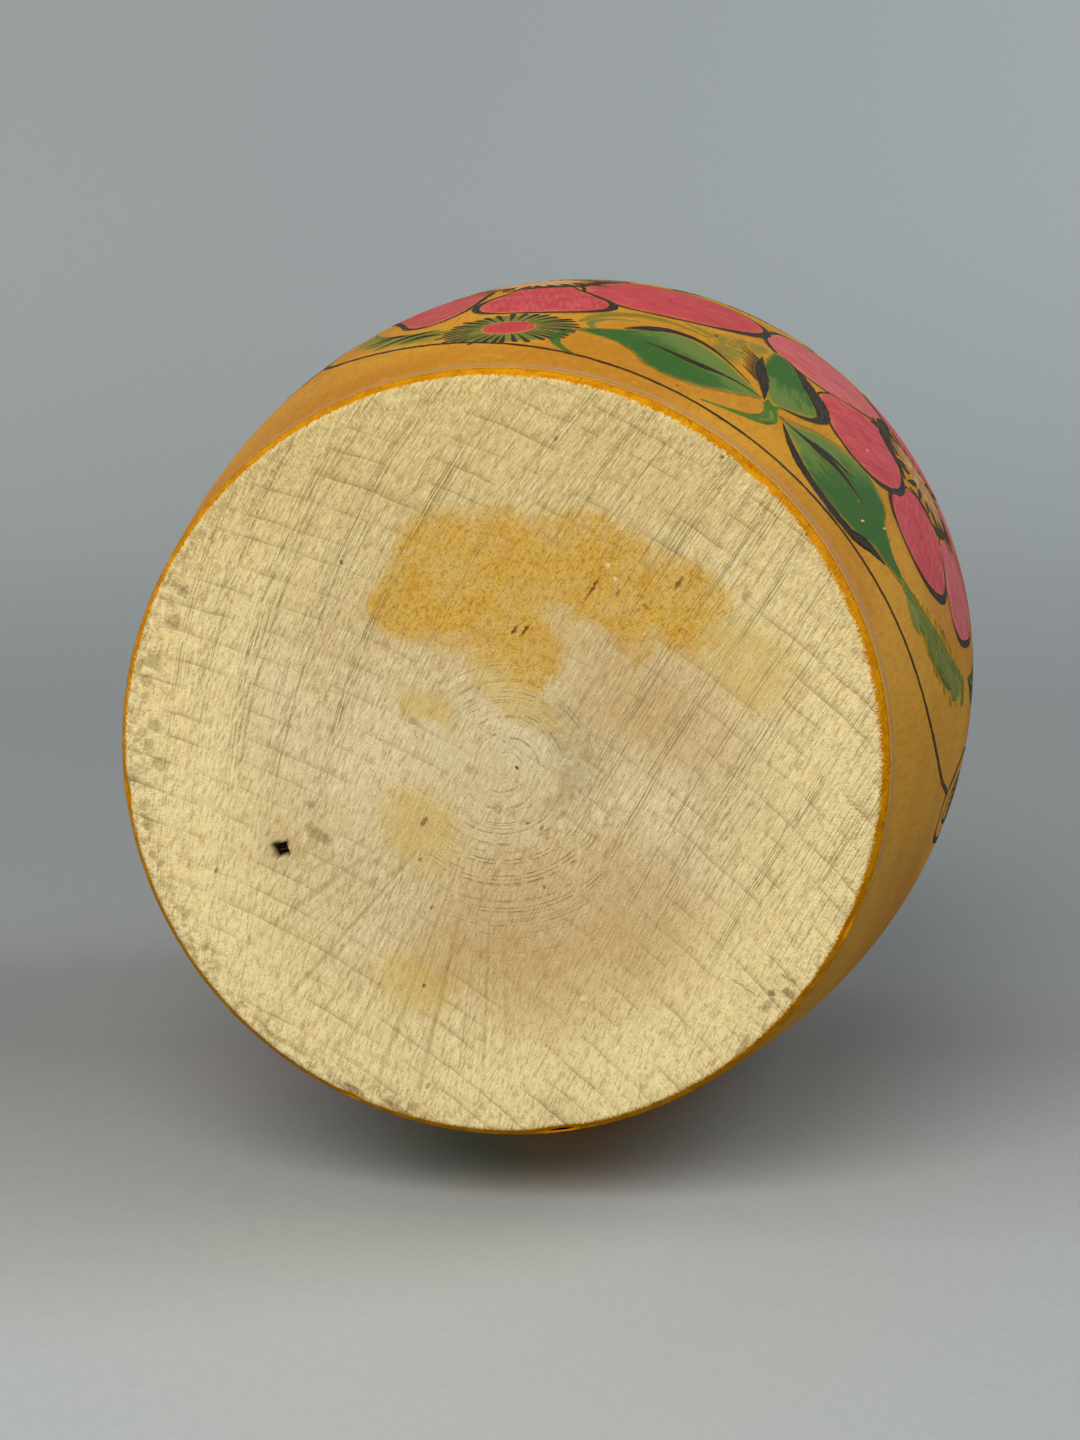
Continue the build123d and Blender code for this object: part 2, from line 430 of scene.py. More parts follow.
def clean_wood(s, warp):
    """Colour of clean end grain, yellower and brighter towards the rim, and darker towards -X and -Y as
    painted shade.
    """
    cloud = s.noise(13, 3)
    colour = s.mix(s.between(cloud, 0.35, 0.68), srgb(0.86, 0.76, 0.55), srgb(0.905, 0.825, 0.64))
    outer = s.between(s.radius + warp * 1.2, 18, 36)
    colour = s.mix(outer * 0.75, colour, srgb(1.0, 0.905, 0.64))
    # Painted shade: a broad brown darkening of the face towards -X and -Y.
    painted_shade_side = s.between(s.x * -0.512 + s.y * -0.859 + warp * 2.0, 4, 34)
    colour = s.mix(painted_shade_side * 0.58, colour, srgb(0.81, 0.70, 0.43))
    mottle = s.noise(1.1, 4, 0.65)
    colour = s.mix(s.between(mottle, 0.30, 0.55, 0.34, 0.0), colour, srgb(0.70, 0.59, 0.38))
    return colour


def short_fibres(s, colour):
    """Short pale and dark fibres, lying along the saw's strokes."""
    lean = s.x + (s.y + 20.0) ** 2 * -0.0025
    flecks = s.noise(0.26, 3, 0.7, place=s.combine(lean, s.y, 0.0), stretch=(1, 6, 1))
    colour = s.mix(s.between(flecks, 0.48, 0.34, 0.0, 0.50), colour, srgb(0.58, 0.46, 0.25))
    colour = s.mix(s.between(flecks, 0.50, 0.66, 0.0, 0.46), colour, srgb(1.0, 0.95, 0.79))
    return colour, flecks


def growth_lines(s, colour):
    """Wide arcs, each one darkening slowly and ending sharply."""
    bow = (s.x + 10.0) ** 2
    growth = s.y + s.x * 0.10 + bow * -0.004 + (s.noise(5, 3) - 0.5) * 0.8
    uneven = growth * (1 / 2.9) + s.lines(growth, 9.0) * 1.6
    rise = s.math("FRACT", uneven) ** 9
    growth_line = rise * s.between(s.noise(7, 3), 0.38, 0.62) * s.between(s.radius, 18, 36, 0.55, 1.0)
    colour = s.mix(growth_line * 0.66, colour, srgb(0.60, 0.47, 0.26))
    return colour, growth_line


def saw_marks(s, colour):
    """Fine scratches in bundles, nearly straight, strong at the left, at the right and at the top."""
    bend = (s.y + 20.0) ** 2 * s.between(s.x, 20, -25, -0.0010, -0.0060)
    lean = s.x + bend + s.noise(16, 2)
    scratches = s.lines(lean, 0.19, 1, 0.5)
    broken = s.noise(1.6, 3, 0.6, stretch=(0.3, 5, 1))
    left = s.blob((-24, -8), (15, 26), soft=1.0)
    right = s.blob((24, -14), (20, 20), soft=1.0)
    top = s.blob((4, -31), (24, 11), soft=1.0)
    bundles = s.between(s.lines(lean, 2.6, 1), 0.42, 0.64, 0.30, 1.0)
    sawn = s.most(left, right, top, 0.42) * s.between(broken, 0.32, 0.62) * bundles
    groove = s.between(scratches, 0.54, 0.38) * sawn
    colour = s.mix(groove * 0.68, colour, srgb(0.58, 0.47, 0.27))
    return colour, groove


def rays_below(s, colour, turn):
    """Rays that fan out below the middle."""
    rays = s.between(s.lines(turn, 0.030, 2), 0.52, 0.36) * s.blob((3, 25), (14, 13), soft=0.9)
    colour = s.mix(rays * 0.40, colour, srgb(0.58, 0.47, 0.29))
    return colour, rays


def turning_marks(s, colour, turn):
    """Turning marks close to the centre, and a pale worn swirl with a grey crescent beside it."""
    off_centre = s.length(s.vector("MULTIPLY", s.vector("SUBTRACT", s.place, (1.0, 0.4, 0.0)), (1, 1, 0)))
    swirl_place = off_centre + turn * 0.35
    turned = s.lines(swirl_place, 0.42, 2)
    turned_here = s.most(s.blob((8, 7), (9, 9), soft=1.0), s.blob((-1, -5), (8, 5), soft=0.9))
    worn = s.between(s.noise(1.3, 3), 0.40, 0.60)
    turned_mark = s.between(turned, 0.52, 0.36) * turned_here * worn
    colour = s.mix(turned_mark * 0.72, colour, srgb(0.58, 0.46, 0.28))
    pale = s.between(off_centre, 9.5, 6.5) * s.between(s.noise(3, 3), 0.35, 0.6, 0.4, 1.0)
    colour = s.mix(pale * 0.30, colour, srgb(0.88, 0.82, 0.66))
    crescent = s.blob((4.5, -3.5), (5.6, 5.6), soft=0.7) * s.between(off_centre, 4.4, 6.6)
    crescent = crescent * s.between(s.noise(0.7, 3), 0.4, 0.6, 0.45, 1.0)
    colour = s.mix(crescent * 0.55, colour, srgb(0.63, 0.54, 0.37))
    return colour, turned_mark


def stains(s, colour, loose):
    """Old lacquer soaked in as an amber patch, paler yellow runs and a brown shadow."""
    amber = s.most(
        s.blob((-14.0, -13.4), (6.0, 6.8), soft=0.70, place=loose),
        s.blob((-9, -15), (8.5, 7.4), soft=0.70, place=loose),
        s.blob((-2.5, -11.0), (2.6, 3.2), soft=1.0, place=loose),
        s.blob((-1, -20.8), (8.6, 5.8), soft=0.80, place=loose),
        s.blob((6.2, -23.2), (6.0, 4.0), soft=1.1, place=loose),
        s.blob((-16.3, -8.2), (3.6, 3.8), soft=0.6, place=loose),
    )
    gap = s.blob((-0.6, -15.8), (4.2, 1.9), soft=0.7, place=loose)
    patchy = s.noise(2.6, 3) - 0.5
    grainy = (s.noise(0.45, 4, 0.8, stretch=(1, 1.8, 1)) - 0.5) * 2.3
    feathered = amber + gap * -0.75 + patchy + grainy
    uneven = s.between(s.noise(4, 4, 0.6), 0.3, 0.7, 0.66, 1.0)
    soaked = s.between(feathered, -0.20, 1.05) * s.between(amber, 0.0, 0.35) * uneven
    colour = s.mix(soaked * 0.92, colour, srgb(0.84, 0.645, 0.20))
    coarse = s.noise(0.42, 3, 0.7, stretch=(1, 1.8, 1))
    colour = s.mix(soaked * s.between(coarse, 0.48, 0.36) * 0.78, colour, srgb(0.67, 0.49, 0.17))
    colour = s.mix(soaked * s.between(coarse, 0.52, 0.65) * 0.70, colour, srgb(0.90, 0.74, 0.35))
    deepest = soaked * s.between(s.noise(3.2, 4, 0.65), 0.50, 0.72)
    colour = s.mix(deepest * 0.48, colour, srgb(0.79, 0.54, 0.10))
    pores = soaked * s.between(s.noise(0.24, 3), 0.55, 0.68)
    colour = s.mix(pores * 0.50, colour, srgb(0.60, 0.38, 0.08))
    yellow = s.most(
        s.blob((-3, 10.5), (4.6, 3.6), soft=0.9, place=loose),
        s.blob((5.0, 24.5), (4.2, 3.0), soft=0.9, place=loose),
        s.blob((-9, -0.5), (3.2, 1.2), soft=1.0, place=loose),
        s.blob((17, -22), (5.0, 4.0), soft=1.0, place=loose),
        s.blob((-2, -6.5), (6.0, 2.2), soft=0.9, place=loose),
    )
    colour = s.mix(yellow * 0.50, colour, srgb(0.83, 0.70, 0.36))
    brown = s.most(
        s.blob((20, 7), (7.0, 8.0), soft=1.3, place=loose),
        s.blob((13, 14), (10.0, 8.0), soft=1.2, place=loose),
        s.blob((7, 19), (5.5, 4.5), soft=1.3, place=loose),
        s.blob((10, -13), (10.0, 4.5), soft=1.6, place=loose),
    )
    colour = s.mix(brown * 0.45, colour, srgb(0.74, 0.58, 0.33))
    return colour


def small_marks(s, colour):
    """Pith, short dark streaks, specks, smudges, crumbs and the nail hole, whose inside is painted nearly
    black as painted shade.
    """
    marks = (  # (x, y), (half sizes), darkness
        ((-1.0, -20.3), (0.15, 1.25), 0.85),
        ((-5.5, -12.4), (0.17, 0.55), 0.85),
        ((-4.6, -12.9), (0.17, 0.62), 0.85),
        ((6.1, -25.4), (0.22, 0.70), 0.75),
        ((7.6, -27.0), (0.35, 0.25), 0.40),
        ((12.5, -28.0), (0.42, 0.60), 0.42),
        ((4.6, -21.6), (0.45, 0.16), 0.50),
        ((1.4, -21.2), (0.20, 0.40), 0.6),
        ((-3.1, 9.6), (0.22, 0.62), 0.65),
        ((-1.4, 13.2), (0.20, 0.24), 0.6),
        ((-24.2, -8.7), (0.17, 0.17), 0.85),
        ((2.1, -0.5), (0.24, 0.18), 0.95),
        ((-1.8, 2.3), (0.8, 0.5), 0.22),
        ((-2.6, -0.6), (0.3, 0.5), 0.20),
        ((2.7, 4.3), (0.55, 0.5), 0.26),
        ((6.0, 3.9), (0.16, 0.16), 0.7),
        ((11.0, 8.6), (0.20, 0.20), 0.6),
        ((5.9, 24.4), (0.18, 0.18), 0.85),
        ((2.3, 16.9), (0.16, 0.16), 0.6),
        ((3.0, -38.4), (0.24, 0.24), 0.8),
        ((11.8, 33.4), (0.25, 0.40), 0.5),
        ((-14.1, 14.6), (0.55, 0.30), 0.38),
        ((-11.6, 16.9), (1.5, 0.6), 0.42),
        ((-9.3, 1.2), (0.55, 0.35), 0.34),
        ((-35.6, 10.7), (0.9, 0.7), 0.40),
        ((-31.6, 18.6), (0.7, 0.8), 0.36),
        ((-28.9, 24.2), (0.8, 0.6), 0.36),
        ((-27.4, 25.8), (0.6, 0.6), 0.34),
        ((-36.8, 2.7), (0.8, 0.6), 0.36),
        ((-36.0, 6.0), (0.8, 0.8), 0.40),
        ((-35.3, 12.9), (0.7, 0.5), 0.32),
        ((-32.1, 16.4), (0.9, 0.6), 0.34),
        ((-29.6, 19.7), (0.9, 0.7), 0.36),
        ((37.9, 4.3), (0.7, 0.45), 0.62),
        ((37.0, 3.0), (0.9, 0.16), 0.50),
        ((36.7, 6.6), (0.4, 0.8), 0.45),
        ((36.9, 11.6), (0.35, 1.4), 0.45),
        ((10.2, 37.3), (2.0, 0.35), 0.55),
        ((5.4, 38.2), (1.3, 0.3), 0.48),
        ((-4.6, 37.9), (1.1, 0.35), 0.36),
        ((36.4, 5.1), (0.35, 0.35), 0.7),
        ((33.9, 6.2), (2.0, 0.10), 0.4),
    )
    scatter, pick = s.cells(2.6, stretch=(1, 1.7, 1))
    freckle = s.math("GREATER_THAN", pick, 0.80) * s.between(scatter, 0.10, 0.055)
    tight, chosen = s.cells(1.0)
    peck = s.math("GREATER_THAN", chosen, 0.45) * s.between(tight, 0.20, 0.10)
    peck = peck * s.blob((0.2, -0.8), (4.6, 4.2), soft=0.9)
    dark = s.most(freckle * 0.55, peck * 0.42)
    jitter_x = s.noise(0.35, 3) * 0.7 - 0.35
    jitter_y = s.noise(0.6, 3) * 0.8 - 0.4
    jitter = s.combine(jitter_x, jitter_y, 0.0)
    fuzzy = s.vector("ADD", s.place, jitter)
    for centre, size, depth in marks:
        dark = s.most(dark, s.blob(centre, size, soft=0.9, place=fuzzy) * depth)
    colour = s.mix(dark, colour, srgb(0.36, 0.22, 0.06))
    halo = s.blob(HOLE, (1.9, 1.8), soft=1.2, place=fuzzy) * 0.32
    colour = s.mix(halo, colour, srgb(0.52, 0.40, 0.20))
    # Painted shade: the inside of the nail hole is coloured nearly black.
    colour = s.mix(s.attribute("pit"), colour, srgb(0.05, 0.035, 0.02))
    crumbs = s.most(
        s.blob((-1.0, -23.2), (0.30, 0.24), soft=1.0, place=fuzzy),
        s.blob((0.4, -22.4), (0.18, 0.20), soft=1.0, place=fuzzy),
        s.blob((20.5, 16.3), (0.36, 0.26), soft=0.6),
        s.blob((29.2, 6.0), (0.34, 0.22), soft=0.6),
    )
    colour = s.mix(crumbs * 0.6, colour, srgb(0.95, 0.90, 0.74))
    return colour, dark


def torn_fibres(s, colour, warp, turn):
    """Fine fuzz everywhere, coarser and tufted near the rim, with dirt caught in it."""
    fuzz = s.noise(0.22, 3, 0.7)
    polar = s.combine(turn * BASE_RADIUS, s.radius, 0.0)
    tufts = s.noise(0.28, 3, 0.65, place=polar, stretch=(1, 2.4, 1))
    rough_rim = s.between(s.radius + warp * 0.8, 31, 38)
    fibre = fuzz * 0.55 + tufts * (rough_rim * 0.6 + 0.15)
    colour = s.mix(s.between(fuzz, 0.30, 0.50, 0.40, 0.0), colour, srgb(0.58, 0.46, 0.24))
    colour = s.mix(s.between(tufts, 0.48, 0.34) * rough_rim * 0.42, colour, srgb(0.66, 0.53, 0.26))
    colour = s.mix(s.between(tufts, 0.52, 0.70) * rough_rim * 0.55, colour, srgb(0.99, 0.91, 0.66))
    grime_side = s.between(s.x * -0.6 + s.y * 0.8, 4, 26)
    grime = s.between(s.radius, 35.8, 38.4) * grime_side * s.between(s.noise(1.0, 4, 0.65), 0.46, 0.60)
    colour = s.mix(grime * 0.44, colour, srgb(0.52, 0.40, 0.20))
    return colour, fibre, tufts


def bevel_lacquer(s, colour, tufts):
    """Lacquer on the bevel. Its lower edge is ragged where it bled into the cut fibres."""
    bleed = s.radius + (tufts - 0.5) * 1.9 + (s.noise(3, 2) - 0.5) * 0.4
    on_bevel = s.math("GREATER_THAN", s.z, 0.45) * s.math("GREATER_THAN", s.radius, BASE_RADIUS)
    reach = s.between(s.x, -15, 25, 0.0, 0.25)
    lacquered = s.most(s.between(bleed + reach, BASE_RADIUS + 0.15, BASE_RADIUS + 0.35), on_bevel)
    clot = s.noise(1.3, 3, 0.65)
    orange = s.mix(s.between(clot, 0.38, 0.62), srgb(0.76, 0.48, 0.02), srgb(0.84, 0.56, 0.04))
    burnt = s.between(s.noise(0.8, 4, 0.7), 0.60, 0.68) * 0.55
    orange = s.mix(burnt, orange, srgb(0.42, 0.22, 0.04))
    return s.mix(lacquered, colour, orange), lacquered


def bare_foot():
    """End grain of the bare base, sawn, sanded, stained and worn, with lacquer on the bevel round it."""
    s = Shader("bare_end_grain", 0.85, coat=0.03, coat_roughness=0.5)
    warp = s.noise(9, 2) * 3.4 - 1.7
    sideways = s.noise(7, 2, place=s.vector("ADD", s.place, (31, 7, 5)))
    wander = s.combine(warp, sideways * 4.0 - 2.0, 0.0)
    loose = s.vector("ADD", s.place, wander)
    turn = s.math("ARCTAN2", s.x, s.y)
    colour = clean_wood(s, warp)
    colour, flecks = short_fibres(s, colour)
    colour, growth_line = growth_lines(s, colour)
    colour, groove = saw_marks(s, colour)
    colour, rays = rays_below(s, colour, turn)
    colour, turned_mark = turning_marks(s, colour, turn)
    colour = stains(s, colour, loose)
    colour, dark = small_marks(s, colour)
    colour, fibre, tufts = torn_fibres(s, colour, warp, turn)
    colour, lacquered = bevel_lacquer(s, colour, tufts)
    height = (
        fibre * 0.50
        + flecks * 0.30
        + groove * -0.42
        + turned_mark * -0.32
        + rays * -0.15
        + growth_line * -0.20
        + dark * -0.30
    )
    s.relief(height, 0.22)
    return s.finish(colour, s.between(lacquered, 0.0, 1.0, 0.88, 0.42))


def knob_finish():
    """The knob: amber with a red cap and two black rings, brushed on while it turned."""
    s = Shader("knob_lacquer", 0.38, coat=0.4, coat_roughness=0.28)
    ground, fibres = amber_ground(s)
    wobble = (s.noise(3.5, 2) - 0.5) * 0.35
    height = s.z + wobble
    streaks = s.lines(s.z, 0.6, 2)
    red = s.mix(s.between(streaks, 0.35, 0.65), srgb(0.70, 0.13, 0.15), srgb(0.84, 0.26, 0.27))
    colour = s.mix(s.between(height, KNOB_EQUATOR + 2.6, KNOB_EQUATOR + 2.75), ground, red)
    for middle, half in ((KNOB_EQUATOR + 2.4, 0.32), (LID_TOP + 1.6, 0.28)):
        above = s.between(height, middle - half - 0.1, middle - half)
        below = s.between(height, middle + half + 0.1, middle + half)
        ring = above * below
        colour = s.mix(ring * 0.9, colour, srgb(0.14, 0.12, 0.08))
    s.relief(streaks * 0.4 + fibres * 0.4, 0.04)
    return s.finish(colour)


AMBER = amber_lacquer()
INSIDE = inside_lacquer()
FOOT = bare_foot()
KNOB = knob_finish()
PAINTS = {
    "red": paint("paint_red", (0.72, 0.21, 0.24), (0.80, 0.32, 0.35), 0.40, coverage=0.97),
    "rose": paint("paint_rose", (0.71, 0.25, 0.27), (0.80, 0.38, 0.41), 0.40, coverage=0.93),
    "leaf": paint("paint_leaf", (0.12, 0.36, 0.12), (0.37, 0.47, 0.19), 0.45, coverage=0.96),
    "green": paint("paint_green", (0.11, 0.32, 0.09), (0.22, 0.42, 0.13), 0.45, coverage=0.95),
    "olive": paint("paint_olive", (0.19, 0.39, 0.15), (0.37, 0.49, 0.22), 0.40, coverage=0.82),
    "wash": paint("paint_wash", (0.33, 0.40, 0.12), (0.52, 0.50, 0.17), 0.30, coverage=0.72, edge=0.30),
    "black": paint("paint_black", (0.065, 0.080, 0.080), (0.14, 0.16, 0.15), 0.30, coverage=0.97, edge=0.93),
    "line": paint("paint_line", (0.13, 0.11, 0.05), (0.22, 0.18, 0.08), 0.30, coverage=0.97, edge=0.97),
    "tan": paint("paint_tan", (0.68, 0.47, 0.30), (0.80, 0.60, 0.42), 0.35, coverage=0.85),
    "dot": paint("paint_dot", (0.78, 0.66, 0.30), (0.88, 0.79, 0.48), 0.30, coverage=0.78),
}

# ---------------------------------------------------------------- bowl
NOISE_CELLS = 64  # along each side of the random grid, which then repeats
ROUGH_FACE = ((0, 0.02), (30, 0.035), (38, 0.09), (39, 0.10))  # (radius, strength of the bumps)
CHIPS = ((41, 2.2, 0.7), (97, 1.6, 0.5), (-52, 1.4, 0.35), (171, 1.5, 0.5), (8, 1.0, 0.4))


def wood_noise(x, y, pitch, seed):
    """Smooth random height from -1 to 1 at points of the base, with bumps about pitch mm across."""
    count = NOISE_CELLS
    lattice = np.random.default_rng(seed).uniform(-1, 1, (count, count))
    u, v = x / pitch + count / 2, y / pitch + count / 2
    i, j = np.floor(u).astype(int), np.floor(v).astype(int)
    du, dv = u - i, v - j
    du, dv = du * du * (3 - 2 * du), dv * dv * (3 - 2 * dv)
    i, j, after_i, after_j = i % count, j % count, (i + 1) % count, (j + 1) % count
    low = lattice[i, j] * (1 - du) + lattice[after_i, j] * du
    high = lattice[i, after_j] * (1 - du) + lattice[after_i, after_j] * du
    return low * (1 - dv) + high * dv


def build_foot():
    """The bare face and its bevel, a thin slab, so that its wood can be finely meshed."""
    face = straight((0, 0), (BASE_RADIUS, 0), FACE_RINGS)[1:]
    bevel = straight((BASE_RADIUS, 0), (FOOT_RADIUS - PAINT_ROOM, BEVEL_HEIGHT), 6)
    top = straight((FOOT_RADIUS - PAINT_ROOM, BEVEL_HEIGHT), (0, BEVEL_HEIGHT), 2)
    section = outline([(0, 0)], face, bevel, top)[::-1]
    points, faces = lathe(section, FINE_SEGMENTS)
    x, y, z = points.T
    radius = np.hypot(x, y)
    under = z < 1e-6
    # Torn end grain rises and falls a little, most near the rim, and never below the face it stands on.
    coarse = wood_noise(x, y, 1.7, 1) * 0.5 + wood_noise(x, y, 0.8, 2) * 0.5
    strength = np.interp(radius, *zip(*ROUGH_FACE))
    points[under, 2] = ((coarse + 1) * strength)[under]
    # Small chips along the edge, where fibres broke away: degrees round, mm wide, mm deep.
    for turn, width, depth in CHIPS:
        middle = np.array([math.sin(math.radians(turn)), math.cos(math.radians(turn))]) * BASE_RADIUS
        near = np.exp(-(((x - middle[0]) ** 2 + (y - middle[1]) ** 2) / width**2))
        points[:, 2] += near * depth * (z < BEVEL_HEIGHT * 0.7)
    across = np.abs(x - HOLE[0]) + np.abs(y - HOLE[1])
    pit = np.clip((HOLE_HALF_DIAGONAL - across) / HOLE_SLOPE, 0, 1) * under
    points[:, 2] += pit * HOLE_DEPTH
    return make_object("bowl_foot", points, faces, [FOOT], "bowl", {"pit": pit})


def build_wall():
    """The rest of the bowl: outside, rim and inside as one closed turning."""
    room = np.array([PAINT_ROOM, 0])
    outside = WALL_OUTSIDE - room
    rim_outer = (RIM_RADIUS - PAINT_ROOM - RIM_ROUNDING, BOWL_HEIGHT - RIM_ROUNDING)
    rim_inner = (MOUTH_RADIUS + RIM_ROUNDING, BOWL_HEIGHT - RIM_ROUNDING)
    up = outline(
        outside,
        straight(outside[-1], (RIM_RADIUS - PAINT_ROOM, BOWL_HEIGHT - RIM_ROUNDING)),
        quarter(rim_outer, RIM_ROUNDING, 0, 90),
        quarter(rim_inner, RIM_ROUNDING, 90, 180),
    )
    down = outline(
        straight((MOUTH_RADIUS, BOWL_HEIGHT - RIM_ROUNDING), (MOUTH_RADIUS, MOUTH_BORE_START), 6),
        bezier(
            (MOUTH_RADIUS, MOUTH_BORE_START),
            (MOUTH_RADIUS + 4.0, MOUTH_BORE_START - 5.0),
            (INNER_BELLY_RADIUS, BELLY_HEIGHT + 14.0),
            (INNER_BELLY_RADIUS, BELLY_HEIGHT),
            steps=18,
        ),
        bezier(
            (INNER_BELLY_RADIUS, BELLY_HEIGHT),
            (INNER_BELLY_RADIUS, BELLY_HEIGHT - 32.0),
            (FLOOR_FLAT_RADIUS + 13.0, FLOOR_THICKNESS),
            (FLOOR_FLAT_RADIUS, FLOOR_THICKNESS),
            steps=30,
        ),
        straight((FLOOR_FLAT_RADIUS, FLOOR_THICKNESS), (0, FLOOR_THICKNESS), 10),
    )
    bottom = [(0, BEVEL_HEIGHT), (20, BEVEL_HEIGHT)]
    section = outline(bottom, up, down)
    points, faces = lathe(section, SEGMENTS)
    first_inside = len(bottom) + len(up) - 1
    rows = len(section) - 1
    inside = [1 if row >= first_inside else 0 for row in range(rows) for _ in range(SEGMENTS)]
    return make_object("bowl_wall", points, faces, [AMBER, INSIDE], "bowl", None, inside)


foot = build_foot()
wall = build_wall()
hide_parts("bowl")
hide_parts("bowl")


# ---------------------------------------------------------------- lid and knob
def build_lid():
    crown = LID_OUTSIDE[::-1] - PAINT_ROOM
    corner = (LID_RADIUS - PAINT_ROOM - LID_ROUNDING, BOWL_HEIGHT + LID_ROUNDING)
    spigot_corner = (SPIGOT_RADIUS - LID_ROUNDING, SPIGOT_BOTTOM + LID_ROUNDING)
    section = outline(
        bezier(
            (0, LID_HOLLOW_TOP),
            (LID_HOLLOW_RADIUS - 12.0, LID_HOLLOW_TOP),
            (LID_HOLLOW_RADIUS - 0.5, SPIGOT_BOTTOM + 9.0),
            (LID_HOLLOW_RADIUS, SPIGOT_BOTTOM),
            steps=30,
        ),
        quarter(spigot_corner, LID_ROUNDING, -90, 0),
        straight((SPIGOT_RADIUS, SPIGOT_BOTTOM + LID_ROUNDING), (SPIGOT_RADIUS, BOWL_HEIGHT), 3),
        quarter(corner, LID_ROUNDING, -90, 0),
        crown,
        straight((KNOB_COLLAR_RADIUS - PAINT_ROOM, LID_TOP), (0, LID_TOP), 3),
    )
    points, faces = lathe(section, SEGMENTS)
    radius, height = np.hypot(points[:, 0], points[:, 1]), points[:, 2]
    spigot = height < BOWL_HEIGHT - 1e-6
    hollow = spigot | (radius < LID_HOLLOW_RADIUS) & (height < LID_HOLLOW_TOP + 0.01)
    inside = [int(all(hollow[i] for i in face)) for face in faces]
    return make_object("lid_dome", points, faces, [AMBER_LID, INSIDE], "lid", None, inside)


def build_knob():
    section = outline(
        straight((0, LID_TOP), (KNOB_COLLAR_RADIUS - 0.3, LID_TOP), 3),
        quarter((KNOB_COLLAR_RADIUS - 0.5, LID_TOP + 0.5), 0.5, -90, 0, 4),
        quarter((KNOB_COLLAR_RADIUS - 0.5, LID_TOP + 1.1), 0.5, 0, 90, 4),
        bezier(
            (KNOB_COLLAR_RADIUS - 0.5, LID_TOP + 1.6),
            (KNOB_NECK_RADIUS, LID_TOP + 2.0),
            (KNOB_NECK_RADIUS - 0.6, LID_TOP + 3.2),
            (KNOB_NECK_RADIUS, LID_TOP + 4.2),
            steps=12,
        ),
        bezier(
            (KNOB_NECK_RADIUS, LID_TOP + 4.2),
            (KNOB_NECK_RADIUS + 1.5, LID_TOP + 6.2),
            (KNOB_RADIUS, KNOB_EQUATOR - 3.6),
            (KNOB_RADIUS, KNOB_EQUATOR),
            steps=24,
        ),
        bezier(
            (KNOB_RADIUS, KNOB_EQUATOR),
            (KNOB_RADIUS, KNOB_EQUATOR + 4.6),
            (KNOB_RADIUS - 4.2, KNOB_TOP),
            (0, KNOB_TOP),
            steps=28,
        ),
    )
    points, faces = lathe(section, KNOB_SEGMENTS)
    return make_object("knob_turned", points, faces, [KNOB], "lid")


def lid_lacquer():
    """The lid's ground: the same amber lacquer, with the fibres running across the dome."""
    s = Shader("lid_lacquer", 0.45, coat=0.20, coat_roughness=0.24)
    colour, fibres = amber_ground(s)
    s.relief(fibres * 0.3 + s.lines(s.radius, 1.4, 3) * 0.5, 0.05)
    return s.finish(colour, s.between(s.noise(6, 3), 0.3, 0.75, 0.36, 0.52))


AMBER_LID = lid_lacquer()
lid = build_lid()
knob = build_knob()
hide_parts("lid")
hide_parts("knob")


# ---------------------------------------------------------------- brushwork
def on_wall(turn, height, lift):
    """A place on the painted wall: degrees round from the front, height in mm, mm above the lacquer."""
    radius = wall_radius(height) - PAINT_ROOM + lift
    angle = np.radians(turn)
    return np.stack([radius * np.sin(angle), -radius * np.cos(angle), height], 1)


def on_lid(turn, radius, lift):
    """A place on the dome of the lid: degrees round from the front, mm out from the axis."""
    angle = np.radians(turn)
    height = lid_height(radius) - PAINT_ROOM + lift
    reach = radius - PAINT_ROOM
    return np.stack([reach * np.sin(angle), -reach * np.cos(angle), height], 1)


FILL_RINGS = np.concatenate([[0.02], np.linspace(0.12, 1, 11)])  # shares of the way out to the edge
STROKE_COLUMNS = 5
STROKE_STEP = 0.55  # mm along a stroke from one row of points to the next
FEWEST_STEPS = 8
THINNEST = 0.04  # mm, the width at which a stroke ends
PAINT_VALUES = ("along", "across", "rim", "tone", "blend")  # what the paint's shader reads at each point


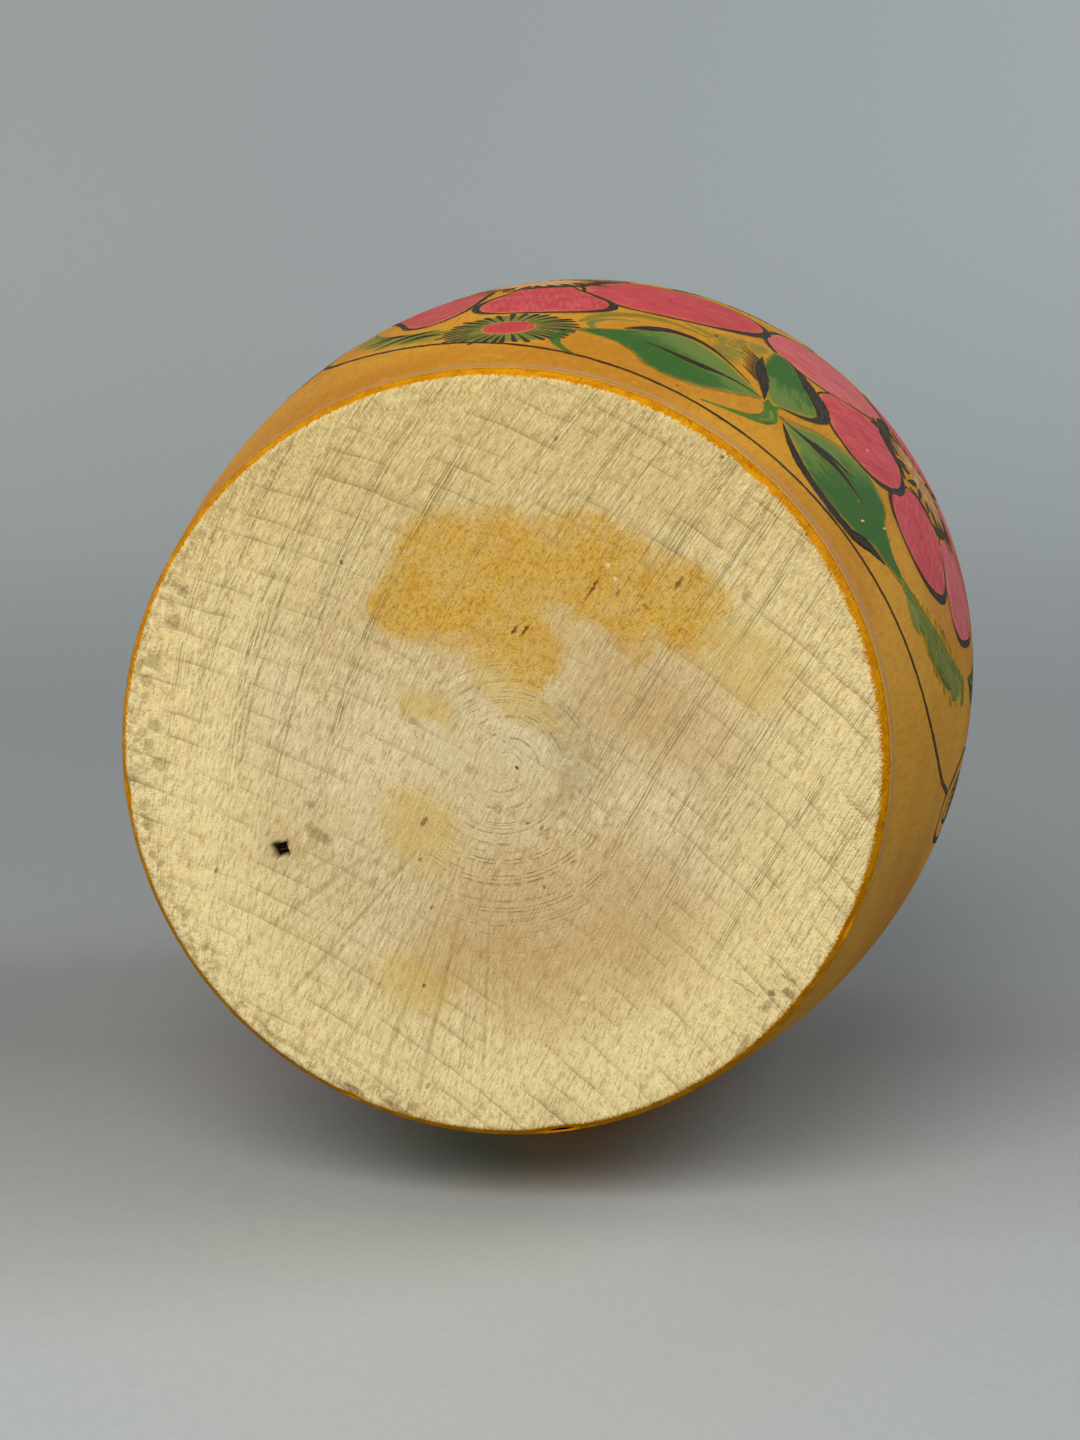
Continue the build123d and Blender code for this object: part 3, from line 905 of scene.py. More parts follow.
class Brush:
    """Gathers strokes of each colour on one surface, then makes one thin mesh of paint per colour."""

    def __init__(self, prefix, canvas, body, degree, seed):
        self.prefix, self.canvas, self.body = prefix, canvas, body
        self.degree = degree  # mm to a degree, for keeping widths even
        self.to_mm = np.array([degree, 1])
        self.random = np.random.default_rng(seed)
        self.flip, self.shift = 1.0, 0.0
        self.heaps = {}

    def add(self, colour, grid, closed, lift, along, across, rim, tone, blend=0.5):
        """One stroke: rows of places with a skirt that goes down into the lacquer round its edge."""
        heap = self.heaps.setdefault(colour, {label: [] for label in ("at", "lift", "faces", *PAINT_VALUES)})
        rows, columns = grid.shape[:2]
        start = sum(len(part) for part in heap["at"])
        places = grid.reshape(-1, 2)
        index = np.arange(rows * columns).reshape(rows, columns)
        if closed:
            edge = index[-1]
        else:
            edge = np.concatenate([index[0], index[1:, -1], index[-1, -2::-1], index[-2:0:-1, 0]])
        with_skirt = np.vstack([places, places[edge]])
        heap["at"].append(with_skirt * np.array([self.flip, 1]) + np.array([self.shift, 0]))
        heap["lift"].append(np.concatenate([np.full(len(places), lift), np.full(len(edge), -SKIRT)]))
        for label, value in (("along", along), ("across", across), ("rim", rim), ("blend", blend)):
            value = np.broadcast_to(value, (rows, columns)).ravel()
            heap[label].append(np.concatenate([value, value[edge]]))
        heap["tone"].append(np.full(len(places) + len(edge), tone))
        ends = columns if closed else columns - 1
        quads = []
        for row in range(rows - 1):
            for column in range(ends):
                after = (column + 1) % columns
                near, far = index[row], index[row + 1]
                quads.append((near[column], near[after], far[after], far[column]))
        skirt = np.arange(len(places), len(places) + len(edge))
        for i in range(len(edge)):
            after = (i + 1) % len(edge)
            quads.append((edge[i], edge[after], skirt[after], skirt[i]))
        if closed:
            quads = [tuple(dict.fromkeys(quad)) for quad in quads]
        heap["faces"].extend(tuple(int(i) + start for i in quad) for quad in quads)

    def fill(self, colour, points, coat=1, tone=None, steps=72, wobble=0.10, towards=None, fade=None):
        """A filled shape with a smooth outline through points (degrees, mm), grown out from its middle.

        Its streaks run towards one place, and fade gives the places where its two colours are purest.
        """
        rim_line = smooth(points, steps, closed=True)
        middle = rim_line.mean(axis=0)
        reach = rim_line - middle
        phase = self.random.uniform(0, TURN, 3)
        turn = np.linspace(0, TURN, steps, endpoint=False)
        uneven = sum(np.sin(k * turn + p) for k, p in zip((5, 11, 23), phase)) / 3
        size = np.hypot(reach[:, 0] * self.degree, reach[:, 1]).mean()
        reach = reach * (1 + wobble * uneven / size)[:, None]
        grid = middle + FILL_RINGS[:, None, None] * reach
        flow = np.array(towards if towards is not None else middle + np.array([0, 1]), float) - middle
        flow = flow * self.to_mm
        flow /= np.linalg.norm(flow)
        offset = (grid - middle) * self.to_mm
        along = offset @ flow
        across = offset @ np.array([-flow[1], flow[0]])
        tone = self.random.uniform() if tone is None else tone
        blend = 0.5
        if fade is not None:
            deep, light = np.array(fade, float) * self.to_mm
            way = light - deep
            blend = np.clip((grid * self.to_mm - deep) @ way / (way @ way), 0, 1)
        self.add(colour, grid, True, coat * FILM, along, across, FILL_RINGS[:, None], tone, blend)

    def stroke(self, colour, points, coat=2, steps=None, wobble=0.05):
        """A brush stroke through (degrees, mm, width in mm), its width changing smoothly along it."""
        points = np.array(points, float)
        scaled = points[:, :2] * self.to_mm
        run = np.linalg.norm(np.diff(scaled, axis=0), axis=1).sum()
        steps = steps or max(FEWEST_STEPS, int(run / STROKE_STEP))
        spine = smooth(np.column_stack([scaled, points[:, 2]]), steps)
        heading = np.gradient(spine[:, :2], axis=0)
        heading /= np.maximum(np.linalg.norm(heading, axis=1, keepdims=True), 1e-9)
        side = np.stack([-heading[:, 1], heading[:, 0]], 1)
        share = np.linspace(-1, 1, STROKE_COLUMNS)
        phase = self.random.uniform(0, TURN, 4)
        at = np.linspace(0, run, steps)
        left = 1 + wobble * (np.sin(at * 1.9 + phase[0]) + np.sin(at * 4.7 + phase[1]))
        right = 1 + wobble * (np.sin(at * 2.3 + phase[2]) + np.sin(at * 5.3 + phase[3]))
        half = np.maximum(spine[:, 2], THINNEST) / 2
        reach = np.where(share[None, :] < 0, left[:, None], right[:, None]) * share[None, :] * half[:, None]
        grid = (spine[:, None, :2] + reach[:, :, None] * side[:, None, :]) / self.to_mm
        along = np.repeat(at[:, None], STROKE_COLUMNS, axis=1)
        tone = self.random.uniform()
        self.add(colour, grid, False, coat * FILM, along, reach, np.abs(share)[None, :], tone)

    def ring(self, colour, height, width):
        """A line all the way round."""
        self.stroke(colour, [(a, height, width) for a in range(0, 361, 6)], steps=480)

    def oval(self, turn, height, wide, high, count):
        """Points round a place for fill. Half widths are in mm."""
        angles = np.linspace(0, TURN, count, endpoint=False)
        return [(turn + wide * math.cos(t) / self.degree, height + high * math.sin(t)) for t in angles]

    def edged(self, colour, points, width, coat=1, **options):
        """A filled shape with a dark line round it. width is one number, or one for each point."""
        self.fill(colour, points, coat, **options)
        if np.ndim(width) == 0:
            width = [width] * len(points)
        ring = [(a, h, 0.85 * w) for (a, h), w in zip(points, width)]
        self.stroke("black", ring + ring[:1], coat + 0.4)

    def build(self):
        """One mesh of paint for each colour used."""
        for colour, heap in self.heaps.items():
            at = np.vstack(heap["at"])
            places = self.canvas(at[:, 0], at[:, 1], np.concatenate(heap["lift"]))
            values = {label: np.concatenate(heap[label]) for label in PAINT_VALUES}
            name = f"{self.prefix}_{colour}"
            faces = outward(places, heap["faces"])
            make_object(name, places, faces, [PAINTS[colour]], self.body, values)


def outward(points, faces):
    """The faces, each turned so that it looks away from the middle of the object."""
    middle = np.array([0.0, 0.0, BELLY_HEIGHT])
    turned = []
    for face in faces:
        corners = points[list(face)]
        normal = np.cross(corners[1] - corners[0], corners[2] - corners[0])
        if len(face) == 4 and not normal.any():
            normal = np.cross(corners[2] - corners[0], corners[3] - corners[0])
        away = corners.mean(axis=0) - middle
        turned.append(face if normal @ away >= 0 else face[::-1])
    return turned


def daisy(brush, turn, height, size, spokes=34):
    """A small flower: a red oval in a ring of short dark spokes on an olive wash."""
    degree = brush.degree
    brush.fill("olive", brush.oval(turn, height, size * 1.04, size, 12), 1, wobble=0.25)
    inner = size * 0.45
    for i in range(spokes):
        t = TURN * i / spokes + brush.random.uniform(-0.04, 0.04)
        near, far = inner * brush.random.uniform(0.98, 1.25), size * brush.random.uniform(0.98, 1.12)
        ends = [(near, 0.10), ((near + far) / 2, 0.42), (far * 0.95, 0.66), (far, 0.18)]
        points = [(turn + r * math.cos(t) / degree, height + r * math.sin(t), w * size / 7) for r, w in ends]
        brush.stroke("black", points, 3, steps=8)
    brush.fill("red", brush.oval(turn, height, inner * 0.92, inner, 12), 5, tone=0.2)


TUFTS = 26  # dark tufts round the middle of a big flower
DOTS = 7  # pale dots on it


def stamens(brush, turn, height, size):
    """The middle of a big flower: a tan disc with dark tufts brushed out over the petals."""
    degree = brush.degree
    brush.fill("tan", brush.oval(turn, height, size, size * 0.95, 10), 7.3)
    for i in range(TUFTS):
        t = TURN * i / TUFTS + brush.random.uniform(-0.06, 0.06)
        near, far = size * brush.random.uniform(0.66, 0.85), size * brush.random.uniform(1.15, 1.62)
        bend = t + brush.random.uniform(-0.10, 0.10)
        points = [
            (turn + near * math.cos(t) / degree, height + near * math.sin(t), 0.25),
            (turn + size * math.cos(t) / degree, height + size * math.sin(t), 0.95),
            (turn + far * math.cos(bend) / degree, height + far * math.sin(bend), 0.12),
        ]
        brush.stroke("black", points, 7.6, steps=8)
    for i in range(DOTS):
        t = TURN * i / DOTS
        middle = (turn + size * 0.42 * math.cos(t) / degree, height + size * 0.42 * math.sin(t))
        brush.fill("dot", brush.oval(*middle, 0.5, 0.5, 8), 8.2, steps=16, wobble=0.02)


def sprig(brush, spine, leaflets, colour="green"):
    """A fern-like sprig: a thin stem, and leaflets given as (share along, length, width, lean in degrees)."""
    curve = smooth([(a * brush.degree, h) for a, h, _ in spine], 60)
    brush.stroke(colour, spine, 2)
    for share, length, width, lean in leaflets:
        i = min(int(share * 59), 58)
        heading = curve[i + 1] - curve[i]
        turn = math.atan2(heading[1], heading[0]) + math.radians(lean)
        root = curve[i]
        tip = root + length * np.array([math.cos(turn), math.sin(turn)])
        middle = root * 0.45 + tip * 0.55
        points = [(*root, 0.5), (*middle, width), (*tip, 0.15)]
        brush.stroke(colour, [(a / brush.degree, h, w) for a, h, w in points], 2)


BOUQUET_MIDDLE = 2  # degrees round from the front
FLOURISH_TURN = 71.5  # degrees from there to the middle of the looped flourish at each side


def medallion(brush):
    """The thin dark line that dips under the bouquet and climbs to the side, with its loop at each end."""
    right = [
        (2, 7.5), (12, 7.9), (22, 9.1), (32, 11.1), (42, 14.2), (50, 17.6), (57, 22.0), (63, 27.6),
        (67, 33.0), (70, 40.0),
    ]
    left = [(2 * BOUQUET_MIDDLE - a, h) for a, h in right[:0:-1]]
    brush.stroke("line", [(a, h, 0.68) for a, h in left + right], 3, wobble=0.10)
    for side in (1, -1):
        middle = BOUQUET_MIDDLE + FLOURISH_TURN * side
        loops = ((0.0, 6.2, 39.5, 66.0, 0.75), (0.6, 3.4, 44.0, 62.0, 0.5))
        for shift, half, low, high, width in loops:
            outline_points = [
                (middle - half, high - 6, width * 0.5),
                (middle - half * 1.05, (low + high) / 2, width),
                (middle - half * 0.55, low + 1.5, width * 1.1),
                (middle + shift, low, width),
                (middle + half * 0.6, low + 2.5, width * 1.1),
                (middle + half, (low + high) / 2 + 2, width),
                (middle + half * 0.75, high - 2, width * 0.4),
            ]
            brush.stroke("black", outline_points, 3)
        for i in range(7):
            a = middle - 3.0 + i
            brush.stroke("black", [
                (a, 47 + abs(i - 3), 0.2), (a + 0.2, 53, 0.55), (a, 60 - abs(i - 3), 0.15),
            ], 3)
        dots = ((middle, 71.0, 1.5), (middle, 75.0, 1.15), (middle, 78.2, 0.85))
        for a, h, size in dots:
            brush.fill("red", brush.oval(a, h, size, size, 10), 3, steps=32)


def leaves(brush):
    """The three big leaves round the stem, with their veins and dark edges."""
    # A green shadow brushed loosely behind the leaves.
    for points in (
        [(-12, 39, 1.0), (-7, 38, 4.0), (-3, 42, 5.0), (-1, 47, 1.5)],
        [(-6.5, 26, 1.0), (-5.0, 32, 5.0), (-4.5, 38, 4.5), (-4.0, 44, 1.0)],
        [(-25, 26, 0.8), (-22, 32, 2.4), (-16, 36, 2.6), (-8, 36, 1.0)],
    ):
        brush.stroke("wash", points, 1)
    # Left leaf, lying down.
    left = [
        (3.2, 22.8), (0.5, 25.4), (-4, 29), (-9.5, 31.6), (-14.5, 30.6), (-18, 26.8), (-21.5, 23.9),
        (-25.5, 21.9),
    ]
    left += [
        (-22, 20.2), (-18.5, 18.9), (-15.5, 16.4), (-13.5, 13.6), (-9.5, 12.2), (-5.5, 12.8),
        (-1.5, 16.2), (1.5, 20.2),
    ]
    brush.fill("leaf", left, 2, tone=0.5, towards=(-30, 21), steps=110, fade=((-12, 17), (-3, 27)))
    brush.stroke("black", [
        (3.2, 23.2, 0.15), (-2, 22.9, 0.7), (-7, 21.7, 1.6), (-11, 21.9, 0.9), (-15, 22.6, 0.1),
    ], 4)
    brush.stroke("black", [
        (0.6, 25.5, 0.2), (-4, 29.2, 0.5), (-8.5, 32.0, 1.3), (-13, 31.6, 1.9), (-16, 29.0, 1.6),
        (-18.6, 26.4, 0.3),
    ], 4)
    # Upright leaf.
    upright = [
        (4.6, 23.5), (2.0, 29.5), (0.2, 36), (0.0, 42.5), (0.6, 48.0), (4.0, 45.2), (6.8, 41.2),
        (9.8, 37.0), (11, 33), (10.2, 29), (7.5, 25.6),
    ]
    brush.fill("leaf", upright, 6.6, tone=0.5, towards=(1, 48), steps=100, fade=((1, 41), (8, 25)))
    brush.stroke("black", [
        (3.6, 23.3, 0.15), (2.6, 27.0, 1.1), (1.2, 31.5, 1.9), (0.0, 36.0, 1.2), (-0.5, 40.0, 0.15),
    ], 7)
    # Short ticks down its left side.
    for i in range(16):
        low = 28.5 + 0.65 * i
        reach = 2.0 + 1.6 * brush.random.uniform()
        brush.stroke("black", [
            (1.2 - 0.11 * i, low, 0.42), (1.0 - 0.11 * i - reach, low + 0.9 * reach, 0.10),
        ], 3, steps=8)
    edge = [
        (1.6, 47.6, 0.2), (4.6, 45.2, 1.2), (7.0, 41.6, 2.6), (9.6, 38.0, 3.1), (11.2, 34.6, 2.2),
        (11.2, 31.0, 1.0), (9.2, 27.2, 0.6), (5.8, 24.1, 0.15),
    ]
    brush.stroke("black", edge, 7)
    # Right leaf.
    right = [
        (6.8, 21.2), (9.5, 24.2), (13, 28.2), (17.5, 31.3), (22.5, 32.4), (26.5, 30.2), (28.3, 26.6),
        (31, 23.8), (34.5, 22.3),
    ]
    right += [
        (38.5, 22.9), (36.5, 20.8), (33, 18.6), (29.8, 17.0), (27, 13.8), (22.5, 11.8), (17, 11.9),
        (12.6, 14.0), (9.4, 17.8),
    ]
    brush.fill("leaf", right, 2, tone=0.5, towards=(40, 22), steps=120, fade=((25, 18), (9, 23)))
    brush.stroke("black", [
        (6.6, 21.2, 0.2), (10.5, 21.3, 0.8), (14.5, 22.2, 2.2), (18, 22.9, 1.5), (24, 22.6, 0.1),
    ], 4)
    brush.stroke("black", [(13, 22.8, 0.5), (17, 24.4, 0.8), (20.5, 25.6, 0.1)], 5)
    brush.stroke("black", [
        (7.8, 20.1, 0.2), (10.6, 15.9, 1.2), (14.5, 12.3, 2.0), (20.5, 10.9, 2.4), (25.6, 11.9, 2.0),
        (28.6, 15.0, 1.9), (32.4, 17.9, 0.3),
    ], 4)
    for a, h in ((25.4, 18.3), (28.4, 24.8), (18.9, 40.0)):
        brush.stroke("dot", [(a, h - 0.5, 0.15), (a + 0.1, h, 0.38), (a + 0.3, h + 0.4, 0.15)], 7, steps=10)
    # Stem and tendrils.
    brush.stroke("green", [
        (5.2, 26, 1.3), (5.0, 22.5, 1.9), (5.9, 18.6, 2.1), (4.6, 15.0, 1.7), (1.4, 12.2, 1.0),
        (-3.2, 9.6, 0.35),
    ], 3)
    brush.stroke("olive", [(5.4, 21, 0.3), (6.2, 18.4, 0.7), (5.0, 15.4, 0.3)], 4)
    brush.stroke("green", [
        (-25.2, 20.6, 0.6), (-26.6, 17.6, 1.3), (-26.0, 14.0, 1.1), (-24.0, 11.2, 0.8),
        (-22.4, 10.0, 0.35),
    ], 3)
    brush.stroke("olive", [(-22.6, 23.4, 0.8), (-23.4, 26, 0.9), (-21.8, 29.0, 0.8), (-17.5, 31.8, 0.3)], 3)


def big_flowers(brush):
    """The two big roses. Their petals are painted back to front, each with its dark edge."""
    left_eye, right_eye = (-36.5, 59.0), (28.0, 60.5)
    left_petals = (  # upper left, top, left, right and front: colour, outline, width of the dark edge
        ("rose", [
            (-43, 62), (-49, 62), (-57, 65), (-60, 71), (-57, 77), (-50, 79), (-44, 75), (-40, 67),
        ], 0.7),
        ("red", [
            (-36, 66), (-42, 71), (-43, 79), (-38, 84.5), (-31, 84.5), (-26, 80), (-26, 73), (-30, 67),
        ], 0.8),
        ("rose", [
            (-42, 56), (-42, 46), (-43, 36), (-46.5, 30.6), (-50.8, 33), (-53.2, 40), (-55.5, 48),
            (-57.5, 56), (-54, 62), (-46, 62),
        ], 0.8),
        ("red", [
            (-28.6, 50), (-27.6, 45), (-24.6, 40.6), (-20, 38.0), (-15, 38.8), (-9.5, 42.2),
            (-5.4, 47.4), (-3.0, 53.4), (-2.8, 59.4), (-5.5, 64.5), (-12, 67), (-20, 66), (-28, 62),
            (-30, 56),
        ], (0.5, 0.7, 0.9, 0.8, 0.8, 0.9, 1.2, 1.3, 1.2, 1.0, 0.8, 0.7, 0.5, 0.5)),
        ("red", [
            (-28.6, 47.2), (-25.4, 42.6), (-22.6, 38.6), (-22.6, 34.6), (-25.6, 31.2), (-31, 29.4),
            (-36.6, 29.6), (-40.2, 32), (-41.6, 36), (-41, 40.6), (-39, 45.5), (-36.5, 51.5),
            (-31.8, 52.6),
        ], (0.5, 0.9, 1.2, 1.3, 1.2, 1.0, 0.8, 0.9, 1.1, 0.9, 0.6, 0.4, 0.4)),
    )
    right_petals = (  # upper right, top, right, left and the two in front
        ("rose", [
            (36, 66), (42, 68), (48, 73), (48, 80), (42, 84), (35, 82), (31, 75), (32, 69),
        ], 0.7),
        ("red", [
            (26, 67), (31, 72), (32, 80), (28, 86), (20, 87), (14.5, 83), (14, 76), (19, 69),
        ], 0.8),
        ("rose", [
            (36.5, 50), (38.5, 46.5), (42.6, 44.2), (46.6, 43.6), (49.8, 47.4), (51.2, 54), (51.4, 61),
            (48.5, 66), (42.5, 66), (37.5, 61), (35.5, 55),
        ], (0.4, 0.5, 0.5, 0.7, 0.9, 1.0, 0.9, 0.7, 0.5, 0.5, 0.4)),
        ("rose", [
            (11.5, 49.6), (8.4, 46.8), (4.2, 46.0), (0.2, 48.0), (-2.2, 53), (-2.4, 60), (-1.0, 67),
            (3.5, 72), (10.5, 73.5), (16, 70), (18.5, 63), (15.5, 56),
        ], (0.4, 0.7, 0.9, 0.9, 0.8, 0.8, 0.9, 0.8, 0.7, 0.6, 0.4, 0.3)),
        ("red", [
            (26.6, 47.2), (26.0, 42.2), (25.2, 38.2), (26.6, 34.0), (30, 31.2), (34.4, 30.8),
            (38.8, 33.0), (41.8, 37.4), (42.4, 41.8), (40.2, 45.8), (36.4, 50.2), (31, 52.4),
        ], (0.4, 0.8, 0.9, 0.9, 0.9, 0.9, 1.1, 1.3, 1.2, 0.7, 0.4, 0.3)),
        ("red", [
            (9.6, 47.2), (8.6, 42.2), (10.6, 37.4), (13.8, 33.4), (18.2, 31.8), (22.4, 33.4),
            (25.2, 37.4), (26.5, 42.2), (25.6, 47.2), (23.4, 51.6), (21, 56.4), (17, 56.6), (13, 51.6),
        ], (0.3, 0.4, 0.5, 0.8, 1.0, 1.0, 1.0, 1.2, 0.9, 0.5, 0.3, 0.3, 0.3)),
    )
    for eye, petals in ((left_eye, left_petals), (right_eye, right_petals)):
        for i, (colour, points, width) in enumerate(petals):
            brush.edged(colour, points, width, 2 + 0.8 * i, towards=eye, steps=96)
    # Deep shade where petals meet the flower's middle.
    shade = (
        [(-40, 49.5, 0.3), (-36, 50.4, 1.8), (-31, 51.6, 2.4), (-28.8, 53.6, 0.6)],
        [(-29.2, 51, 0.6), (-28.4, 57, 2.6), (-26.6, 62, 2.0), (-24.5, 66, 0.3)],
        [(17.8, 58.6, 0.3), (20, 55, 2.2), (22.6, 52.4, 2.4), (25.6, 49.8, 0.6)],
        [(18.6, 69, 0.4), (18.6, 63, 2.6), (19.8, 57.6, 2.2), (22.6, 52.2, 0.5)],
        [(27.2, 49.8, 0.4), (30, 51.2, 1.4), (34, 52.0, 1.2), (35.4, 56, 1.5), (36.2, 62, 0.3)],
        [(16.6, 55.2, 0.3), (17.4, 57.6, 0.9), (16.4, 60.4, 0.2)],
    )
    for points in shade:
        brush.stroke("black", points, 7)
    stamens(brush, *left_eye, 6.4)
    stamens(brush, *right_eye, 6.2)


def small_things(brush):
    """Daisies, sprigs and the small leaves that fill the medallion up to the rim."""
    daisy(brush, -34.2, 20.9, 7.6)
    daisy(brush, -8.0, 82.0, 6.2, 30)
    daisy(brush, 55.5, 77.0, 5.4, 26)
    brush.stroke("wash", [(-30, 14, 1.0), (-43, 20, 5.0), (-52, 27, 5.0), (-57, 34, 1.0)], 0.6)
    leaflets = []
    for i in range(8):
        length, width, lean = brush.random.uniform((3.8, 3.2, -14), (6.6, 4.6, 14))
        leaflets.append((0.03 + 0.125 * i, length, width * 1.15, lean - 48 + 3 * i))
    brush.stroke("wash", [
        (37, 21.5, 2.0), (43.5, 25.6, 6.0), (49, 31.5, 8.0), (53.5, 38, 6.5), (56, 46, 1.0),
    ], 1)
    brush.stroke("olive", [(39, 22.5, 1.0), (45.5, 26.0, 3.2), (51, 32.0, 3.6), (55, 39, 1.0)], 1.5)
    sprig(brush, [
        (36, 21.4, 2.4), (40.5, 25.0, 1.5), (45, 29.6, 1.4), (49.5, 35, 1.2), (53, 41, 1.0),
        (55.5, 47.5, 0.4),
    ], leaflets, "olive")
    other = tuple((share, size * 0.9, width * 0.6, -lean) for share, size, width, lean in leaflets)
    sprig(brush, [
        (-43, 23.0, 0.8), (-48, 26.0, 1.2), (-53, 31.0, 1.0), (-56.5, 38, 0.8), (-58.6, 46, 0.3),
    ], other, "olive")
    for start, end in (((-44, 22), (-51, 23.6)), ((-45, 25.5), (-55.5, 26.4)), ((-50, 28), (-57, 33))):
        middle = ((start[0] + end[0]) / 2, (start[1] + end[1]) / 2 + 0.8, 1.3)
        brush.stroke("black", [(*start, 0.2), middle, (*end, 0.2)], 3, steps=16)
    # Leaves above the flowers.
    upper = (
        [(-24, 88, 0.4), (-17, 91.5, 4.4), (-9, 92.5, 5.0), (0, 90, 0.4)],
        [(0, 90, 0.4), (8, 94.0, 4.6), (15, 93.5, 3.4), (22, 90, 0.4)],
        [(-62, 80, 0.4), (-55, 87, 4.4), (-47, 90.5, 4.8), (-38, 89, 0.4)],
        [(36, 89, 0.4), (44, 91, 4.4), (51, 88.5, 4.0), (58, 84, 0.4)],
        [(-64, 52, 0.4), (-64.5, 60, 3.8), (-63, 67, 3.6), (-60, 73, 0.4)],
        [(56, 53, 0.4), (58.5, 60, 3.8), (58, 66, 3.4), (55, 71, 0.4)],
        [(-18, 69, 0.4), (-17, 75, 3.6), (-14, 79, 0.4)],
        [(3.5, 76, 0.4), (2.0, 82, 3.4), (4.5, 87, 0.4)],
    )
    for points in upper:
        brush.stroke("green", points, 2, wobble=0.08)
        light = [(a, h + 0.6, w * 0.35) for a, h, w in points[:-1]]
        brush.stroke("olive", light, 3)
        vein = [(a, h - 0.2, 0.2 + 0.12 * w) for a, h, w in points]
        brush.stroke("black", vein, 4)
        under = [(a, h - w * 0.46, 0.15 + 0.14 * w) for a, h, w in points]
        brush.stroke("black", under, 4)


def paint_wall():
    """Two bouquets, front and back, each in its medallion, under a ringed rim."""
    brush = Brush("painting", on_wall, "bowl", WALL_DEGREE, seed=11)
    for flip, shift in ((1.0, 0.0), (-1.0, 180.0)):
        brush.flip, brush.shift = flip, shift
        medallion(brush)
        big_flowers(brush)
        leaves(brush)
        small_things(brush)
    brush.flip, brush.shift = 1.0, 0.0
    brush.ring("black", 98.6, 0.55)
    brush.ring("red", 101.8, 1.25)
    brush.build()


def paint_lid():
    """A wreath on the dome: four roses with leaves between them, inside a red and a black ring."""
    brush = Brush("lid_painting", on_lid, "lid", LID_DEGREE, seed=23)
    for middle in (0, 90, 180, 270):
        for lean, colour in ((-15, "rose"), (15, "rose"), (0, "red")):
            centre = middle + lean
            points = [
                (centre - 11, 26.0), (centre - 12, 30.5), (centre - 6, 34.5), (centre, 35.6),
                (centre + 6, 34.5), (centre + 12, 30.5), (centre + 11, 26.0), (centre, 23.6),
            ]
            coat = 2 + (lean >= 0) * 0.8 + (colour == "red") * 0.8
            brush.edged(colour, points, 0.6, coat, towards=(centre, 14), steps=72)
        for lean in (-10, 10):
            centre = middle + lean
            points = [
                (centre - 10, 18.6), (centre - 9, 22.6), (centre, 25.4), (centre + 9, 22.6),
                (centre + 10, 18.6), (centre, 16.2),
            ]
            brush.edged("red", points, 0.55, 4.8 + 0.04 * lean, towards=(centre, 14), steps=60)
        for i in range(14):
            t = TURN * i / 14
            points = [
                (middle + reach * math.cos(t) / ROSE_DEGREE, 24.4 + reach * math.sin(t), width)
                for reach, width in ((1.2, 0.2), (2.2, 0.6), (3.5, 0.12))
            ]
            brush.stroke("black", points, 7, steps=8)
        between = middle + 45
        for side in (-1, 1):
            leaf = [
                (between + side * 3, 20, 0.4), (between + side * 10, 24.5, 4.0),
                (between + side * 15, 29.5, 4.4), (between + side * 13, 35.5, 0.4),
            ]
            brush.stroke("green", leaf, 2, wobble=0.08)
            brush.stroke("olive", [(a + side * 1.2, r, w * 0.3) for a, r, w in leaf[:-1]], 3)
            brush.stroke("black", [(a, r, 0.15 + 0.12 * w) for a, r, w in leaf], 4)
        daisy(brush, between, 31.5, 3.4, 22)
    brush.ring("black", 13.0, 0.45)
    brush.ring("black", 38.2, 0.5)
    brush.ring("red", 40.6, 1.3)
    brush.build()


paint_wall()
paint_lid()

# ---------------------------------------------------------------- camera, as in the photograph
# The bowl lies on its side with its base to the camera. All of these are in the camera's own axes:
# x to the right, y up, z towards the viewer.
LENS = 75.0
SENSOR = 36.0  # along the picture's long side
BASE_IN_VIEW = Vector((-4.362, -4.163, -306.703)) * MM  # centre of the base
AXIS_IN_VIEW = Vector((0.1416, 0.1518, -0.9782)).normalized()  # from the base to the lid
FRONT_IN_VIEW = math.radians(57.6)  # the painted front points this far above the picture's right

front = Vector((math.cos(FRONT_IN_VIEW), math.sin(FRONT_IN_VIEW), 0.0))
front = (front - AXIS_IN_VIEW * front.dot(AXIS_IN_VIEW)).normalized()
row_x = (-front).cross(AXIS_IN_VIEW)
row_in_view = Matrix((row_x, -front, AXIS_IN_VIEW)).transposed()
view_to_row = row_in_view.transposed()

camera_data = bpy.data.cameras.new("camera")
camera_data.sensor_fit = "VERTICAL"
camera_data.sensor_height = SENSOR
camera_data.lens = LENS
camera_data.clip_start = 0.01
camera = bpy.data.objects.new("camera", camera_data)
camera.matrix_world = Matrix.Translation(view_to_row @ -BASE_IN_VIEW) @ view_to_row.to_4x4()
bpy.context.scene.collection.objects.link(camera)
bpy.context.scene.camera = camera


def in_row(vector):
    """A direction or place given in the camera's axes, measured from the base's centre, in the row frame."""
    return view_to_row @ Vector(vector)


